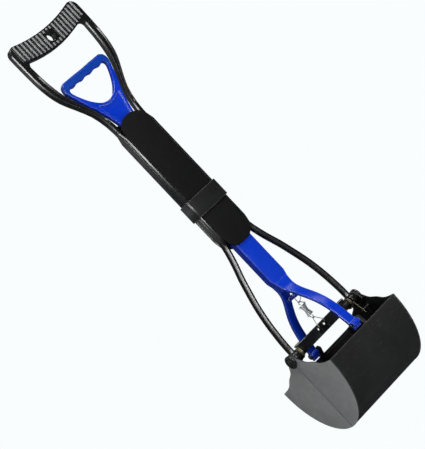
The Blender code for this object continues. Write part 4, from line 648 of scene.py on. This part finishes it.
def torsion_path():
    """The right spring: a rest on the cross bar, the turns round the barrel, and a leg behind the jaw's peg."""
    count = TORSION_TURNS * FINE_POINTS
    coil = []
    for index in range(count + 1):
        angle = math.radians(90) + 2 * math.pi * index / FINE_POINTS
        x = TORSION_START_X + TORSION_PITCH * TORSION_TURNS * index / count
        coil.append(Vector((x, -TORSION_RADIUS * math.cos(angle), TORSION_RADIUS * math.sin(angle))))
    coil = coil[: -FINE_POINTS // 4]
    rest_z = BAR_TOP_Z + FIT_GAP + TORSION_WIRE
    rest = [
        Vector((TORSION_REST_X, 0, rest_z)),
        Vector((TORSION_START_X - TORSION_WIRE * 3, 0, rest_z)),
        Vector((TORSION_START_X, -TORSION_WIRE, (rest_z + TORSION_RADIUS) / 2 + TORSION_WIRE)),
    ]
    foot_y = -(PEG_Y + PEG_RADIUS + FIT_GAP + TORSION_WIRE)
    leg_x = coil[-1].x
    leg = [
        Vector((leg_x, -TORSION_RADIUS - TORSION_WIRE, -TORSION_RADIUS / 2)),
        Vector((leg_x, foot_y, PEG_Z)),
        Vector((leg_x, foot_y - TORSION_WIRE, TORSION_LEG_Z)),
    ]
    start = through(rest + coil[3:12:3], 5)
    end = through(coil[-12::3] + leg, 5)
    return start[:-10] + coil[6:-6] + end[10:]


for side, jaw in ((1, "front_jaw"), (-1, "back_jaw")):
    name = "right" if side > 0 else "left"
    turned = [Vector((side * p.x, side * p.y, p.z)) + PIVOT for p in torsion_path()]
    spring = wire(f"{name}_jaw_coil", turned, TORSION_WIRE, WIRE_SIDES, FINISHES["zinc_steel"])
    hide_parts(f"{name}_torsion_spring")
    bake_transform(spring)


# Camera.
def direction(azimuth, elevation):
    """The way from the part to a place around it. Azimuth 0 is the front (-Y), and 90 is the +X side."""
    a, e = math.radians(azimuth), math.radians(elevation)
    return Vector((math.sin(a) * math.cos(e), -math.cos(a) * math.cos(e), math.sin(e)))


def aimed(place, aim, roll=0.0):
    """Where a camera or a light stands that looks from the place at the aim."""
    back = (place - aim).normalized()
    right = Vector((0, 0, 1)).cross(back).normalized()
    up = back.cross(right)
    turn = Matrix((right, up, back)).transposed() @ Matrix.Rotation(math.radians(-roll), 3, "Z")
    return Matrix.Translation(place) @ turn.to_4x4()


lens = bpy.data.cameras.new("photo_camera")
lens.lens = CAMERA_LENS
lens.sensor_width = CAMERA_SENSOR
lens.sensor_fit = "AUTO"
lens.clip_end = 200.0
camera = bpy.data.objects.new("photo_camera", lens)
bpy.context.scene.collection.objects.link(camera)
camera.matrix_world = aimed(
    CAMERA_AIM + direction(CAMERA_AZIMUTH, CAMERA_ELEVATION) * CAMERA_DISTANCE, CAMERA_AIM, CAMERA_ROLL
)
bpy.context.scene.camera = camera


# Light.
def softbox(name, azimuth, height, distance, size, power, mirrored_only):
    """A rectangular light that faces the part's middle."""
    lamp = bpy.data.lights.new(name, "AREA")
    lamp.shape = "RECTANGLE"
    lamp.size, lamp.size_y = size
    lamp.energy = power
    made = bpy.data.objects.new(name, lamp)
    bpy.context.scene.collection.objects.link(made)
    stand = direction(azimuth, 0) * distance
    made.matrix_world = aimed(Vector((stand.x, stand.y, height)), Vector((0, 0, LIT_HEIGHT)))
    if mirrored_only:
        made.visible_diffuse = False
        made.visible_transmission = False


for light in LIGHTS:
    softbox(*light)


def camera_or_through(tree):
    """The light path node, and 1 for what the camera sees, straight or through something clear."""
    rays = add_node(tree, "ShaderNodeLightPath")
    return rays, combine(tree, "MAXIMUM", rays.outputs["Is Camera Ray"], rays.outputs["Is Transmission Ray"])


def glow(tree, kind, colour, strength):
    """A background or emission shader whose strength is a number or comes from the nodes."""
    made = add_node(tree, kind)
    made.inputs["Color"].default_value = (*colour, 1.0)
    if isinstance(strength, float):
        made.inputs["Strength"].default_value = strength
    else:
        link(tree, strength, made.inputs["Strength"])
    return made.outputs[0]


def mix_shaders(tree, factor, first, second):
    made = add_node(tree, "ShaderNodeMixShader")
    for index, source in enumerate((factor, first, second)):
        link(tree, source, made.inputs[index])
    return made.outputs[0]


# Surroundings.
world = bpy.data.worlds.new("studio")
bpy.context.scene.world = world
world.use_nodes = True
sky = world.node_tree
sky.nodes.clear()
rays, seen = camera_or_through(sky)
place = add_node(sky, "ShaderNodeTexCoord")
split = add_node(sky, "ShaderNodeSeparateXYZ")
link(sky, place.outputs["Generated"], split.inputs["Vector"])
leftwards = remap(sky, split.outputs["X"], *LEFT_FADE)
backwards = combine(sky, "MULTIPLY", leftwards, remap(sky, split.outputs["Y"], *BACK_FADE))
not_high = remap(sky, split.outputs["Z"], *HIGH_FADE, 1.0, HIGH_SHARE)
not_low = remap(sky, split.outputs["Z"], *LOW_FADE, LOW_SHARE, 1.0)
level = combine(sky, "MULTIPLY", backwards, combine(sky, "MULTIPLY", not_high, not_low))
mirrored_level = remap(sky, level, 0.0, 1.0, REFLECTED_ROOM, REFLECTED_LEFT)
ambient = glow(sky, "ShaderNodeBackground", WORLD_TINT, WORLD_LIGHT)
mirrored_room = glow(sky, "ShaderNodeBackground", BACKGROUND, mirrored_level)
backdrop = glow(sky, "ShaderNodeBackground", BACKGROUND, 1.0)
unseen = mix_shaders(sky, rays.outputs["Is Glossy Ray"], ambient, mirrored_room)
output = add_node(sky, "ShaderNodeOutputWorld")
link(sky, mix_shaders(sky, seen, unseen, backdrop), output.inputs["Surface"])

# Floor: pale, keeps the shadow under the part, and runs into the backdrop's colour further out.
corners = []
for index in range(FLOOR_SIDES):
    angle = 2 * math.pi * index / FLOOR_SIDES
    corners.append((FLOOR_RADIUS * math.cos(angle), FLOOR_RADIUS * math.sin(angle), 0))
floor_mesh = bpy.data.meshes.new("floor")
floor_mesh.from_pydata(corners, [], [tuple(range(FLOOR_SIDES))])
floor = bpy.data.objects.new("floor", floor_mesh)
floor.location = (0, 0, FLOOR_Z)
bpy.context.scene.collection.objects.link(floor)
floor_material, ground, ground_shader = new_material("pale_floor")
floor_mesh.materials.append(floor_material)
ground_shader.inputs["Roughness"].default_value = 0.9
ground_shader.inputs["Specular IOR Level"].default_value = 0.1
speckle = blend_colours(ground, noise(ground, 3.0, 4.0), FLOOR_PALE, FLOOR_PALER)
link(ground, speckle, ground_shader.inputs["Base Color"])
rays, seen = camera_or_through(ground)
lifted = add_node(ground, "ShaderNodeAddShader")
link(ground, ground_shader.outputs[0], lifted.inputs[0])
lift = glow(ground, "ShaderNodeEmission", BACKGROUND, combine(ground, "MULTIPLY", seen, FLOOR_LIFT))
link(ground, lift, lifted.inputs[1])
reach = add_node(ground, "ShaderNodeVectorMath", operation="LENGTH")
link(ground, coordinates(ground), reach.inputs[0])
far = remap(ground, reach.outputs["Value"], FLOOR_FADE_START, FLOOR_FADE_END)
plain = glow(ground, "ShaderNodeEmission", BACKGROUND, 1.0)
faded = mix_shaders(ground, combine(ground, "MULTIPLY", far, seen), lifted.outputs[0], plain)
mirrored_floor = glow(ground, "ShaderNodeEmission", BACKGROUND, REFLECTED_FLOOR)
surface = mix_shaders(ground, rays.outputs["Is Glossy Ray"], faded, mirrored_floor)
link(ground, surface, ground.nodes["Material Output"].inputs["Surface"])

bpy.context.scene.view_settings.view_transform = "Standard"

bpy.context.view_layer.update()
